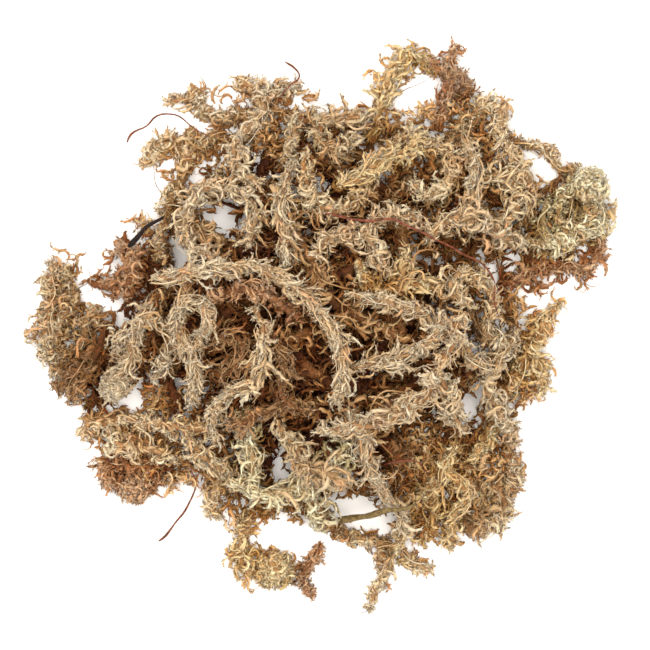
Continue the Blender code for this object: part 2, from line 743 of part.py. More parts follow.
def steered_route(start, heading, paces, rng):
    """A wandering route of even paces, which turns away from trouble and ends when it can't."""
    route = [start]
    for _ in range(paces):
        drift = rng.normal(0, 0.2)
        choices = []
        for turn in BED_TURNS:
            x = route[-1][0] + BED_PACE * math.cos(heading + turn)
            y = route[-1][1] + BED_PACE * math.sin(heading + turn)
            choices.append((abs(turn - drift) + trouble((x, y)), turn, (x, y)))
        cost, turn, place = min(choices)
        if cost > 4.0 and len(route) > 2:
            break
        heading += turn
        route.append(place)
    return route


def bed_strands():
    """The strands of the inside: in each, a stem crosses the clump and long shoots leave it."""
    beds = {}
    for number in range(BED_NODES):
        name = f"bed_{number + 1}"
        rng = seeded(name)
        heading = math.pi * number / BED_NODES + 0.3
        across = rng.uniform(-14, 14)
        start = (-50 * math.cos(heading) - across * math.sin(heading),
                 -50 * math.sin(heading) + across * math.cos(heading))
        main = steered_route(start, heading, 16, rng)
        routes = [main]
        for place in range(2, len(main) - 1, 2):
            side = 1 if place % 4 else -1
            shoot = steered_route(main[place], heading + side * rng.uniform(0.8, 1.3), 6, rng)
            if len(shoot) > 3:
                routes.append(shoot)
        finish = "brown" if number % 2 else "ashen"
        beds[name] = strand(finish, BED_TIERS[number], *routes, leafy=0.3)
    return beds


def build():
    """Lays every strand, then gives each its branches and its body."""
    for thing in list(bpy.data.objects):
        bpy.data.objects.remove(thing)
    scene = bpy.context.scene.collection
    clump = bpy.data.collections.new("dried_sphagnum_moss_clump")
    cutters = bpy.data.collections.new("cutters")
    scene.children.link(clump)
    scene.children.link(cutters)

    # The strands are laid lowest first, each in its place by its tier
    specs = dict(bed_strands())
    specs.update(STRANDS)
    order = sorted(specs, key=lambda name: (not name.startswith("bed"), specs[name]["tier"]))
    heap = Heap()
    laid = {}
    for name in order:
        spec = specs[name]
        rng = seeded(name)
        laid[name] = lay(heap, spec["routes"], 0.45, spec["tier"], STEM_GAP, spec["head"], spec["lift"], rng)
    for name, (finish, radius, tier, route) in WIRES.items():
        laid[name] = lay(heap, [route], 0.3, tier, radius + 0.5, 0.0, 0.0, seeded(name))

    # Each stem is as thick as it can be without touching another
    owners = {name: number for number, name in enumerate(laid)}
    everything = np.vstack([stem for stems, _ in laid.values() for stem in stems])
    belongs = np.concatenate([[owners[name]] * len(stem) for name, (stems, _) in laid.items() for stem in stems])
    crowd = Crowd()
    cores = {}
    for name, (stems, girths) in laid.items():
        rng = seeded(name + " cores")
        cores[name] = []
        for stem, girth in zip(stems, girths):
            if name in WIRES:
                core = np.full(len(stem), WIRES[name][1])
            else:
                ripple = np.interp(np.arange(len(stem)), np.arange(0, len(stem) + 5, 5),
                                   rng.uniform(0.8, 1.25, len(np.arange(0, len(stem) + 5, 5))))
                core = CORE_RADIUS * ripple
                foreign = everything[belongs != owners[name]]
                spare = np.array([np.linalg.norm(foreign - point, axis=1).min() for point in stem]) / 2
                core = np.minimum(core, np.maximum(spare - 0.25, 0.5))
            cores[name].append(core)
            crowd.add(stem, core, owners[name])
        if name in specs and specs[name]["head"]:
            crowd.add(stems[0][-2:-1], np.array([specs[name]["head"]]), owners[name])

    # Bodies
    bpy.ops.mesh.primitive_cube_add(size=1, location=(0, 0, -0.01))
    table = bpy.context.object
    table.name = "table_cutter"
    table.scale = (0.4, 0.4, 0.02)
    table.hide_render = True
    table.display_type = "WIRE"
    for collection in list(table.users_collection):
        collection.objects.unlink(table)
    cutters.objects.link(table)
    for name in order:
        body = strand_body(name, owners[name], laid[name][0], cores[name], specs[name], crowd, clump)
        cut_flat(body, table)
        centred(body)
        finished(body, specs[name]["finish"])
    for name, (finish, radius, tier, route) in WIRES.items():
        stem = laid[name][0][0]
        places = ring_places(stem)
        radii = np.full(len(places), radius)
        radii[[0, -1]] = radius * 0.7
        body = loft(name, stem[places], radii, 5, 0.3, clump)
        cut_flat(body, table)
        centred(body)
        finished(body, finish)


build()
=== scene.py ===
# %% [markdown]
# # A clump of dried sphagnum moss
# Dried sphagnum is sold as a loose tangle of long strands. Each strand is a limp stem with
# a bunch of small branches every couple of millimetres, and every branch is wrapped in tiny
# overlapping leaves. This lesson lays the strands one over another, as they fall on a table,
# and then clothes each of them in thousands of curled branches.
#
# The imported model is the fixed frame. It holds one solid for each strand, and every strand
# drawn here replaces one of those solids, on the same route and at the same height.

# %% Load the frame
import math
import zlib

import bpy
import numpy as np
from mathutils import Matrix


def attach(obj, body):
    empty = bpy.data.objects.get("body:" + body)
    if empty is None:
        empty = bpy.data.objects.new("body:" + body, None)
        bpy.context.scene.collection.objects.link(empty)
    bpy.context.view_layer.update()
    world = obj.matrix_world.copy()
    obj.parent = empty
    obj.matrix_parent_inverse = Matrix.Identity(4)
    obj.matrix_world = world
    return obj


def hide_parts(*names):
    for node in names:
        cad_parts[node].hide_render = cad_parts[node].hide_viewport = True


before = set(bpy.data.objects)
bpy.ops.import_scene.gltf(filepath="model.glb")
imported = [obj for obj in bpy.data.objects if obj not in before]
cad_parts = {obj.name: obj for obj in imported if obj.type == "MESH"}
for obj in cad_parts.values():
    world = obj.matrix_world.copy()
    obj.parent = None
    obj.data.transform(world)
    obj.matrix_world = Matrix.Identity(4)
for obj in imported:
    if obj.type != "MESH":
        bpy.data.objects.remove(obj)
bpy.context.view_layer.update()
print(f"the frame has {len(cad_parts)} nodes")

# %% [markdown]
# ## Sizes
# All places are in millimetres on the table, from the middle of the clump: +X right, +Y away
# from the reader and +Z up. The first group of values is the solid model's own, because both
# models have to lay the strands in the same way. The second group is the moss itself, with
# sizes taken from real sphagnum: leaves of 1.5 mm, on branches of 4 to 11 mm.

# %% Sizes, in millimetres
MM = 0.001
CENTRING = (0.3, 0.9)

CROWN_HEIGHT = 30.0
CROWN_MIDDLE = (2.0, 2.0)
CROWN_REACH = (72.0, 70.0)
STEM_GAP = 3.0
STEP = 1.5
CELL = 1.0
TABLE_REACH = 110.0
FLOOR_RISE = 1.7
SAG = 0.02
STEEPEST = 0.9
BEND_RADIUS = 5.0
SHARPEST_TURN = 0.40
EASING_ROUNDS = 80
HEAD_REACH = 1.6
HEAD_GAP = 0.8
LIFT_WAVE = 9
JOIN_SAMPLES = 8
WIRE_GAP = 0.5
STRAND_WANDER = 0.45
WIRE_WANDER = 0.3

GOLDEN_ANGLE = math.pi * (3 - math.sqrt(5))
FULL_TURN = 6.3
LEAF_LENGTH = 1.5
LEAF_WIDTH = 0.8
LEAVES_ON_BRANCH = 7
print(f"the crown of the clump stands {CROWN_HEIGHT:.0f} mm over the table")

# %% [markdown]
# ## Colours
# Dry moss has no green left in most of it: the empty cell walls of its leaves scatter light
# and look straw-coloured, bleached cream or tan. Strands that aged in the bog are rust brown
# at their lower ends, and the oldest are dark brown. Colours are given as sRGB hex values, and
# one function turns them to the linear values that the shaders take. Each finish has a light
# and a dark tone. Painted shade multiplies them where a branch leaves its stem and in the
# felted core of a strand.

# %% Colours
def linear(code):
    """Linear red, green and blue from an sRGB hex colour, by the sRGB curve."""
    parts = [int(code[i:i + 2], 16) / 255 for i in (1, 3, 5)]
    return np.array([p / 12.92 if p <= 0.04045 else ((p + 0.055) / 1.055) ** 2.4 for p in parts])


# Straw is moss picked young and dried in the air. Pale moss was bleached by the sun, and golden
# moss by less of it. Rust and brown moss grew old low in the bog, and ashen moss is dusty with
# broken leaves. Green moss was dried in the dark, and has kept a trace of its green.
MOSS_COLOURS = {
    "straw": ("#CCB894", "#C2A074"),
    "pale": ("#C9B798", "#C2A278"),
    "golden": ("#CEB88A", "#C49E6A"),
    "rust": ("#B8926C", "#8C6040"),
    "brown": ("#A07C54", "#664428"),
    "ashen": ("#BFAB88", "#AE8A60"),
    "green": ("#D4CAA6", "#C6B288"),
}
# Painted shade where a branch leaves its stem, among the crowded branches
ROOT_PAINTED_SHADE = np.array([0.95, 0.80, 0.64])
# Painted shade in the felted core, which the branches cover
CORE_PAINTED_SHADE = np.array([0.60, 0.46, 0.34])
# The brown of old moss, which also stands for painted shade deep in the hollows
OLD_BROWN_AND_SHADE = linear("#5A3010")
RUST_STAIN = linear("#C08450")
print(f"{len(MOSS_COLOURS)} finishes of moss")

# %% [markdown]
# ## The strands
# The photograph shows each main strand from end to end, so each gets its own route: points
# that a smooth curve runs through. tier says how high in the heap a strand lies, from 0 on
# the table to 1 on the crown. Side shoots follow the main stem's route and start on it.
# These routes repeat the solid model's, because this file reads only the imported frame.

# %% The strands' routes
def strand(finish, tier, *routes, head=0.0, lift=0.0):
    """One piece of moss: finish, tier, routes, the size of its head, and how far it springs up."""
    return {"finish": finish, "tier": tier, "routes": routes, "head": head, "lift": lift}


STRANDS = {
    # Rim strands, which lie on the table round the edge of the clump
    "left_tuft": strand("ashen", 0.3,
        [(-88, 22), (-88, 13), (-90, 4), (-89, -6), (-85, -14), (-79, -17)],
        [(-89, -4), (-84, 4), (-82, 12), (-85, 20)], [(-86, -12), (-79, -5), (-77, 4), (-73, 8)],
        lift=3.0),
    "left_tuft_shade": strand("brown", 0.3, [(-71, 2), (-73, -7), (-77, -15), (-81, -22)],
        [(-73, -6), (-69, -11), (-71, -18), (-76, -24)], [(-75, -12), (-81, -13), (-86, -19)]),
    "rust_curl": strand("rust", 0.0,
        [(-77, 16), (-71, 14), (-64, 15), (-60, 20), (-62, 25), (-68, 26)]),
    "low_left_mat": strand("straw", 0.2,
        [(-79, -34), (-72, -30), (-64, -29), (-55, -30), (-46, -31), (-38, -30)],
        [(-70, -30), (-68, -37), (-60, -38), (-52, -39), (-45, -43)], lift=1.0),
    "rust_ring": strand("rust", 0.0,
        [(-50, -44), (-58, -43), (-68, -41), (-73, -45), (-69, -50), (-60, -51)],
        [(-66, -42), (-60, -46), (-53, -48)], head=3.2),
    "low_left_fringe": strand("straw", 0.2,
        [(-44, -36), (-38, -40), (-34, -46), (-36, -53), (-35, -60)],
        [(-36, -43), (-31, -46), (-29, -53)]),
    "gold_head": strand("golden", 0.0,
        [(-8, -53), (-17, -56), (-24, -60), (-27, -68), (-26, -76), (-21, -79), (-15, -76)],
        head=5.0),
    "low_bridge": strand("green", 0.35,
        [(-30, -47), (-22, -52), (-12, -51), (-3, -49), (3, -43), (6, -36)],
        [(-8, -50), (-3, -56), (-1, -62)], [(-22, -51), (-23, -43), (-24, -34), (-26, -26)]),
    "bottom_rope": strand("straw", 0.0,
        [(0, -56), (1, -63), (7, -66), (15, -68), (23, -71), (29, -75), (34, -78)],
        [(18, -69), (19, -76), (17, -83), (15, -89)]),
    "rust_drop": strand("rust", 0.0, [(-2, -68), (-2, -73), (-6, -76), (-7, -81), (-5, -86)]),
    "lower_right_fan": strand("golden", 0.35,
        [(43, -36), (38, -44), (36, -52), (34, -60), (32, -68)],
        [(38, -45), (45, -52), (42, -60), (40, -69)], [(37, -48), (30, -54), (26, -62), (24, -68)],
        lift=1.0),
    "corner_tuft": strand("ashen", 0.2,
        [(44, -49), (50, -50), (57, -53), (57, -60), (51, -64), (46, -63)],
        [(57, -55), (61, -49), (60, -41), (61, -33)], [(52, -50), (49, -57), (51, -66)], lift=1.0),
    "green_rim": strand("rust", 0.15, [(57, 13), (65, 19), (74, 21), (82, 21), (88, 24), (88, 30)],
        [(70, 21), (67, 26), (61, 27)]),
    "green_head": strand("green", 0.2, [(62, 29), (70, 28), (78, 30), (84, 34), (87, 41), (85, 48)],
        [(77, 30), (75, 38), (78, 45), (83, 51)], [(80, 31), (82, 37), (80, 43)],
        [(72, 28), (70, 36), (71, 42)], [(82, 33), (88, 33), (91, 39)], head=4.5, lift=4.0),
    "thin_link": strand("straw", 0.1, [(57, 66), (63, 61), (69, 59), (74, 55), (77, 51), (81, 52)],
        [(76, 51), (73, 46), (67, 45)], lift=2.0),
    "loop_left": strand("golden", 0.0, [(15, 60), (17, 68), (19, 76), (22, 84), (27, 90)],
        [(27, 89), (32, 88), (36, 84)], lift=2.0),
    "rust_pillar": strand("rust", 0.1, [(35, 65), (38, 71), (40, 78), (39, 84), (34, 86)],
        [(40, 80), (41, 86), (41, 92)], [(40, 82), (45, 84), (47, 79), (44, 74)], lift=1.0),
    "top_left_tip": strand("pale", 0.2, [(-44, 80), (-42, 75), (-38, 71), (-31, 69), (-25, 71)],
        [(-42, 75), (-47, 75), (-50, 74)]),
    "left_column": strand("straw", 0.3,
        [(-43, 66), (-46, 58), (-45, 50), (-49, 44), (-51, 36), (-54, 29), (-51, 22)],
        [(-46, 60), (-51, 61), (-55, 60), (-57, 55)], [(-46, 56), (-40, 60), (-34, 62), (-28, 62)]),
    "top_middle": strand("ashen", 0.35, [(-14, 70), (-6, 68), (2, 67), (9, 69), (13, 68)],
        [(-10, 69), (-10, 61), (-13, 54)], [(-2, 68), (-1, 61), (3, 56), (8, 61)]),
    # Middle strands, which the top ones partly hide
    "left_column_inner": strand("pale", 0.45,
        [(-33, 52), (-39, 46), (-44, 38), (-45, 31), (-40, 25), (-33, 22)],
        [(-41, 43), (-35, 45), (-29, 45), (-24, 42), (-22, 35), (-24, 27)]),
    "swirl": strand("brown", 0.45,
        [(-39, -5), (-34, -1), (-27, -3), (-26, -10), (-32, -14), (-38, -11)]),
    "pale_plume": strand("pale", 0.5,
        [(-48, 13), (-55, 9), (-60, 1), (-62, -8), (-66, -15), (-68, -19)],
        [(-57, 5), (-51, 2), (-49, -5), (-53, -13)], [(-60, -2), (-64, -3), (-67, -9)], head=3.6,
        lift=3.0),
    "upper_right_crest": strand("straw", 0.45,
        [(43, 64), (48, 70), (54, 74), (57, 68), (57, 60), (63, 53), (66, 45), (64, 36)],
        [(46, 68), (41, 61), (38, 54)]),
    "right_sweep": strand("golden", 0.5,
        [(76, 9), (72, 4), (68, -2), (64, -10), (59, -18), (55, -26), (52, -34), (48, -41)],
        [(66, -6), (69, -12), (71, -19)], lift=1.0),
    "right_sweep_inner": strand("pale", 0.55,
        [(63, 1), (59, -5), (54, -12), (52, -20), (57, -28), (60, -34)],
        [(60, -4), (52, -1), (47, 5), (45, 12)], [(54, -12), (47, -10), (43, -3)]),
    "top_left_crest": strand("pale", 0.5,
        [(-28, 82), (-23, 78), (-20, 72), (-23, 66), (-29, 60), (-28, 53), (-22, 47)],
        [(-20, 73), (-15, 77), (-9, 79)]),
    "pale_reed": strand("pale", 0.6, [(-9, 54), (-13, 47), (-14, 39), (-13, 31), (-12, 23)]),
    "south_west_rope": strand("ashen", 0.65,
        [(-15, -28), (-10, -36), (-7, -43), (0, -44), (5, -48)]),
    "low_shade": strand("brown", 0.6, [(-16, 0), (-13, -9), (-14, -18), (-9, -25), (-1, -26)],
        [(-10, -24), (-20, -26), (-28, -30)]),
    "upper_ring": strand("straw", 0.7,
        [(49, 46), (54, 50), (60, 48), (62, 41), (57, 35), (51, 36), (48, 41)]),
    "north_tangle": strand("straw", 0.7,
        [(19, 59), (27, 62), (35, 60), (41, 55), (40, 47), (34, 43), (28, 47)]),
    "tan_uprights": strand("golden", 0.75, [(11, 23), (13, 15), (19, 11), (24, 16), (26, 24)],
        [(21, 12), (28, 14), (34, 16), (38, 12)]),
    # Top strands, which show whole
    "centre_ring": strand("straw", 0.8, [(-6, 55), (-6, 46), (0, 39), (8, 39), (13, 45), (12, 53)]),
    "ring_left": strand("pale", 0.8,
        [(-22, 8), (-20, 0), (-19, -9), (-22, -16), (-29, -20), (-35, -24), (-35, -33)]),
    "rust_band": strand("rust", 0.8, [(-39, 11), (-31, 13), (-22, 12), (-14, 9), (-9, 3)]),
    "pale_column": strand("pale", 0.8, [(44, 63), (47, 55), (48, 47), (46, 40), (47, 33)]),
    "gold_diagonal": strand("golden", 0.85, [(4, 45), (11, 49), (17, 53), (24, 57), (30, 61)]),
    "curl_disc": strand("straw", 0.85, [(53, 4), (52, 12), (47, 18), (41, 17), (40, 11), (45, 9)]),
    "centre_curl": strand("pale", 0.9, [(-3, 24), (2, 30), (9, 31), (15, 27), (20, 20)],
        [(11, 31), (17, 36), (24, 37), (31, 34)]),
    "white_hump": strand("pale", 0.9, [(33, 29), (38, 34), (44, 36), (50, 34), (56, 30), (63, 28)]),
    "arch_descent": strand("pale", 0.9,
        [(-41, 17), (-45, 10), (-47, 2), (-43, -6), (-41, -14), (-42, -22)],
        [(-45, 9), (-38, 9), (-37, 2), (-41, -5)]),
    "centre_mass": strand("pale", 0.95, [(9, 12), (15, 9), (23, 8), (30, 6), (35, 0)]),
    "south_rope": strand("pale", 0.9,
        [(7, -24), (11, -32), (13, -41), (17, -49), (23, -56), (25, -62)]),
    "vee": strand("pale", 0.95, [(8, -12), (16, -10), (24, -9), (32, -4), (37, 3)]),
    "big_diagonal": strand("pale", 1.0,
        [(43, 6), (40, -3), (36, -11), (33, -18), (26, -24), (18, -28), (9, -30), (-1, -31)],
        [(36, -12), (39, -21), (43, -31)]),
    "great_arch": strand("pale", 1.0,
        [(-54, 16), (-45, 18), (-36, 19), (-27, 20), (-18, 18), (-10, 14), (-4, 8), (2, 2),
         (5, -6), (6, -14), (4, -21)]),
}
print(f"{len(STRANDS)} named strands")

# %% The roots' and twigs' routes
# Finish, radius, tier and route
WIRES = {
    "red_root": ("root", 0.55, 0.92, [
        (0, 37), (10, 35), (20, 35), (29, 32), (38, 27), (47, 23), (53, 17), (54, 9), (55, 2)]),
    "lower_red_root": ("root", 0.5, 0.8, [(19, -43), (25, -41), (30, -42), (33, -46)]),
    "left_root": ("root", 0.45, 0.0, [
        (-64, 61), (-63, 64), (-57, 67), (-55, 69), (-48, 70), (-43, 66), (-37, 62)]),
    "top_root": ("root", 0.45, 0.0, [(-13, 87), (-10, 85), (-6, 81), (-11, 80), (-15, 74)]),
    "bottom_root": ("root", 0.5, 0.0, [(-54, -68), (-48, -62), (-44, -56), (-42, -49), (-43, -42)]),
    "dead_twig": ("twig", 1.3, 0.0, [(4, -61), (12, -59), (21, -57), (29, -55)]),
    "charred_twig": ("bark", 1.1, 0.0, [(-63, 27), (-60, 30), (-57, 33), (-52, 37)]),
}

# %% [markdown]
# The inside of the clump shows only as brown moss in the gaps, so a rule draws it: five
# stems cross the clump in five directions, long shoots leave each on both sides, and every
# pace turns away from the windows through which the table shows.

# %% The bed of the clump
BED_NODES = 5
BED_TIERS = (0.0, 0.12, 0.24, 0.36, 0.5)
BED_REACH = 57.0
BED_PACE = 7.0
BED_TURNS = (-0.6, -0.4, -0.2, 0.0, 0.2, 0.4, 0.6)
BED_START = 50
MAIN_PACES = 16
SHOOT_PACES = 6
DRIFT = 0.2
MOST_TROUBLE = 4.0
WINDOW_MARGIN = 4.5
# Windows through which the table shows, and bed stems don't cross them: x, y and radius
WINDOWS = (
    (-30, 36, 7), (-46, 24, 5), (-42, 49, 5), (-65, -22, 7), (15, 58, 5),
    (28, 78, 8), (48, -22, 6), (-15, -45, 7), (-9, -65, 10), (12, -59, 6), (66, 38, 5),
)


def trouble(place):
    """How unwelcome a bed strand is at a place: in a window, or outside the clump's middle."""
    cost = max(0.0, math.hypot(*place) - BED_REACH)
    for x, y, radius in WINDOWS:
        cost += max(0.0, radius + WINDOW_MARGIN - math.hypot(place[0] - x, place[1] - y))
    return cost


def steered_route(start, heading, paces, rng):
    """A wandering route of even paces, which turns away from trouble and ends when it can't."""
    route = [start]
    for _ in range(paces):
        drift = rng.normal(0, DRIFT)
        choices = []
        for turn in BED_TURNS:
            x = route[-1][0] + BED_PACE * math.cos(heading + turn)
            y = route[-1][1] + BED_PACE * math.sin(heading + turn)
            choices.append((abs(turn - drift) + trouble((x, y)), turn, (x, y)))
        cost, turn, place = min(choices)
        if cost > MOST_TROUBLE and len(route) > 2:
            break
        heading += turn
        route.append(place)
    return route


def bed_strands():
    """The strands of the inside: in each, a stem crosses the clump and long shoots leave it."""
    beds = {}
    for number in range(BED_NODES):
        name = f"bed_{number + 1}"
        rng = seeded(name)
        heading = math.pi * number / BED_NODES + 0.3
        across = rng.uniform(-14, 14)
        start = (-BED_START * math.cos(heading) - across * math.sin(heading),
                 -BED_START * math.sin(heading) + across * math.cos(heading))
        main = steered_route(start, heading, MAIN_PACES, rng)
        routes = [main]
        for place in range(2, len(main) - 1, 2):
            side = 1 if place % 4 else -1
            shoot_heading = heading + side * rng.uniform(0.8, 1.3)
            shoot = steered_route(main[place], shoot_heading, SHOOT_PACES, rng)
            if len(shoot) > 3:
                routes.append(shoot)
        finish = "brown" if number % 2 else "ashen"
        beds[name] = strand(finish, BED_TIERS[number], *routes)
    return beds


# %% [markdown]
# ## How a strand lies
# A strand is a smooth curve in the plan, and its height follows from what lies under it. A
# grid over the table keeps the height of everything laid so far. A new stem may nowhere come
# nearer to it than one stem's thickness, can't bend or climb too sharply, and sags between
# its supports. A simulation could do the same, but this rule is quick and always gives the
# same heap.

# %% A smooth curve through a route
def seeded(name):
    """The random numbers of one strand, which are the same in every run."""
    return np.random.default_rng(zlib.crc32(name.encode()))


def eased(path):
    """Averages each point with its neighbours, only where the path turns too sharply."""
    for _ in range(EASING_ROUNDS):
        step = np.diff(path, axis=0)
        heading = np.unwrap(np.arctan2(step[:, 1], step[:, 0]))
        sharp = np.concatenate([[False], np.abs(np.diff(heading)) > SHARPEST_TURN, [False]])
        if not sharp.any():
            break
        near = sharp.copy()
        near[1:-1] |= sharp[2:] | sharp[:-2]
        near[[0, -1]] = False
        middle = np.zeros_like(path)
        middle[1:-1] = (path[:-2] + 2 * path[1:-1] + path[2:]) / 4
        path = np.where(near[:, None], middle, path)
    return path


def smooth_route(route, wander, rng):
    """Points every STEP along a Catmull-Rom curve, pushed sideways by two sine waves."""
    points = np.array(route, dtype=float)
    padded = np.vstack([2 * points[0] - points[1], points, 2 * points[-1] - points[-2]])
    t = np.linspace(0, 1, 16, endpoint=False)[:, None]
    pieces = []
    for before, start, end, after in zip(padded, padded[1:], padded[2:], padded[3:]):
        bend = 2 * before - 5 * start + 4 * end - after
        twist = -before + 3 * start - 3 * end + after
        pieces.append(start + 0.5 * (t * (end - before) + t ** 2 * bend + t ** 3 * twist))
    dense = np.vstack(pieces + [points[-1:]])
    along = np.concatenate([[0.0], np.cumsum(np.linalg.norm(np.diff(dense, axis=0), axis=1))])
    count = max(4, int(round(along[-1] / STEP)) + 1)
    even = np.linspace(0, along[-1], count)
    path = np.column_stack([np.interp(even, along, dense[:, axis]) for axis in (0, 1)])
    tangent = np.gradient(path, axis=0)
    side = np.column_stack([-tangent[:, 1], tangent[:, 0]])
    side /= np.linalg.norm(side, axis=1)[:, None]
    phase = rng.uniform(0, 2 * math.pi, 2)
    sway = np.sin(even / 2.7 + phase[0]) + 0.6 * np.sin(even / 1.6 + phase[1])
    return eased(path + side * (wander * sway)[:, None])


# %% The heap, and how a stem drapes over it
def crown(places):
    """Height of the crown over places on the table: a flattened dome."""
    across = (places[:, 0] - CROWN_MIDDLE[0]) / CROWN_REACH[0]
    away = (places[:, 1] - CROWN_MIDDLE[1]) / CROWN_REACH[1]
    return CROWN_HEIGHT * np.clip(1 - across ** 2 - away ** 2, 0, 1) ** 0.6


class Heap:
    """Top of everything laid so far, as heights on a grid of cells over the table."""

    def __init__(self):
        self.axis = np.arange(-TABLE_REACH, TABLE_REACH + CELL, CELL)
        self.top = np.zeros((len(self.axis), len(self.axis)))

    def window(self, place, radius):
        """The cells within radius of a place, and the height of a ball's shell over each."""
        low = np.searchsorted(self.axis, place - radius)
        high = np.searchsorted(self.axis, place + radius)
        across = self.axis[low[0]:high[0]] - place[0]
        away = self.axis[low[1]:high[1]] - place[1]
        shell = radius ** 2 - across[:, None] ** 2 - away[None, :] ** 2
        return (slice(low[0], high[0]), slice(low[1], high[1])), shell

    def rest_height(self, place, radius):
        """Lowest height at which a ball of this radius touches nothing under it."""
        cells, shell = self.window(place, radius)
        inside = (shell > 0) & (self.top[cells] > 0)
        if not inside.any():
            return FLOOR_RISE
        return max(FLOOR_RISE, float((self.top[cells][inside] + np.sqrt(shell[inside])).max()))

    def add(self, points, radii):
        """Puts a stem's balls on the heap."""
        for point, radius in zip(points, radii):
            cells, shell = self.window(point[:2], radius)
            ball = np.where(shell > 0, point[2] + np.sqrt(np.clip(shell, 0, None)), 0)
            self.top[cells] = np.maximum(self.top[cells], ball)


def slope_limited(heights):
    """Raises heights until a stem can follow them: round over each top, and never too steep."""
    index = np.arange(len(heights))
    distance = STEP * np.abs(index[:, None] - index[None, :])
    straight_from = BEND_RADIUS * math.sin(math.atan(STEEPEST))
    rounded = BEND_RADIUS - np.sqrt(BEND_RADIUS ** 2 - np.minimum(distance, straight_from) ** 2)
    fall = rounded + STEEPEST * np.maximum(distance - straight_from, 0)
    return (heights[None, :] - fall).max(axis=1)


def draped(heights):
    """Least heights over the given ones that sag between supports: their upper hull."""
    index = np.arange(len(heights), dtype=float)
    parabola = SAG * index ** 2
    level = heights - parabola
    hull = []
    for i in range(len(level)):
        while len(hull) > 1:
            first, second = hull[-2], hull[-1]
            rise = (level[second] - level[first]) * (i - first)
            if rise > (level[i] - level[first]) * (second - first):
                break
            hull.pop()
        hull.append(i)
    return np.interp(index, hull, level[hull]) + parabola


# %% Laying one strand
def joined(routes, wander, rng):
    """Smooth plans of a strand's stems, each shoot moved so that it starts on another stem."""
    flats = [smooth_route(route, wander, rng) for route in routes]
    joins = [None]
    for number in range(1, len(flats)):
        gaps = [np.linalg.norm(flat - flats[number][0], axis=1) for flat in flats[:number]]
        parent = min(range(number), key=lambda k: gaps[k].min())
        sample = int(gaps[parent].argmin())
        fade = np.clip(1 - np.arange(len(flats[number])) / JOIN_SAMPLES, 0, 1)[:, None]
        flats[number] = eased(flats[number] + fade * (flats[parent][sample] - flats[number][0]))
        joins.append((parent, sample))
    return flats, joins


def lay(heap, spec, wander, radius, rng):
    """Lays one strand on the heap and gives the points of its stems, main stem first."""
    flats, joins = joined(spec["routes"], wander, rng)
    girths = [np.full(len(flat), radius) for flat in flats]
    if spec["head"]:
        reach = np.arange(len(girths[0]))[::-1] * STEP
        broad = np.maximum(radius, spec["head"] + HEAD_GAP)
        girths[0] = np.where(reach < HEAD_REACH * spec["head"], broad, girths[0])
    needs = []
    for flat, girth in zip(flats, girths):
        need = np.array([heap.rest_height(place, size) for place, size in zip(flat, girth)])
        wave = np.sin(np.arange(len(flat)) * STEP / LIFT_WAVE + rng.uniform(0, FULL_TURN))
        spring = spec["lift"] * (0.5 + 0.5 * wave)
        need = np.maximum(need, np.maximum(spec["tier"] * crown(flat), FLOOR_RISE + spring))
        needs.append(slope_limited(need))
    for number in range(len(flats) - 1, 0, -1):
        parent, sample = joins[number]
        needs[parent][sample] = max(needs[parent][sample], needs[number][0])
        needs[parent] = slope_limited(needs[parent])
    stems = []
    for number, flat in enumerate(flats):
        need = needs[number]
        if number:
            parent, sample = joins[number]
            need[0] = stems[parent][sample, 2]
            need = slope_limited(need)
        stems.append(np.column_stack([flat, draped(need)]))
    for stem, girth in zip(stems, girths):
        heap.add(stem, girth)
    return stems


# %% Laying the whole clump
strands = dict(bed_strands())
strands.update(STRANDS)
laying_order = sorted(strands, key=lambda name: (not name.startswith("bed"), strands[name]["tier"]))
heap = Heap()
laid = {}
for name in laying_order:
    laid[name] = lay(heap, strands[name], STRAND_WANDER, STEM_GAP, seeded(name))
for name, (finish, radius, tier, route) in WIRES.items():
    spec = strand(finish, tier, route)
    laid[name] = lay(heap, spec, WIRE_WANDER, radius + WIRE_GAP, seeded(name))
length_of = {name: sum(len(stem) for stem in stems) * STEP for name, stems in laid.items()}
print(f"laid {len(laid)} strands, {sum(length_of.values()) / 1000:.1f} m in all")

# %% [markdown]
# The heap also tells how a point of the moss lies: on a ridge, or down in a hollow. Little
# light reaches the hollows, and the old, brown parts of the moss lie there, so the colour is
# darkened with the depth below the mean top of the heap within a few millimetres: painted
# shade, mixed with the brown of old moss. Half of the depth is the point's own and half is
# the heap's, so that a whole strand keeps one tone.

# %% Depth below the ridges of the heap
NEAR_REACH = 3
RIDGE_REACH = 5


def blurred(heights, reach):
    """Mean of a square of cells round each cell, from running sums along both axes."""
    for axis in (0, 1):
        margins = [(reach + 1, reach) if a == axis else (0, 0) for a in (0, 1)]
        padded = np.pad(heights, margins, mode="edge")
        total = np.cumsum(padded, axis=axis)
        width = 2 * reach + 1
        heights = (np.take(total, range(width, total.shape[axis]), axis=axis)
                   - np.take(total, range(total.shape[axis] - width), axis=axis)) / width
    return heights


near_top = blurred(heap.top, NEAR_REACH)
ridge_top = blurred(near_top, RIDGE_REACH)


def depth_at(points):
    """Depth of points, and the ridge there: half of (ridge - z) and half of (ridge - near top)."""
    cells = ((points[:, :2] + TABLE_REACH) / CELL).round().astype(int)
    across, away = np.clip(cells, 0, len(heap.axis) - 1).T
    ridge = ridge_top[across, away]
    return 0.5 * (ridge - points[:, 2]) + 0.5 * (ridge - near_top[across, away]), ridge


# %% [markdown]
# ## Tubes
# Stems, branches and roots are all tubes round a path. A tube is a function of two
# parameters: the place along its path and the angle round it. A thousand branches are worked
# out together, as one array of branch, place, angle and coordinate.

# %% Tubes round many paths at once
FIRST_SIDE = np.array([[0.3, 0.2, 1.0]])
SOFT_HEIGHT = 1.2
SOFT_ROOM = 1.1
LEAST_HEIGHT = 0.1


def unit(vectors):
    """Vectors of length one, in the same directions."""
    return vectors / np.maximum(np.linalg.norm(vectors, axis=-1, keepdims=True), 1e-9)


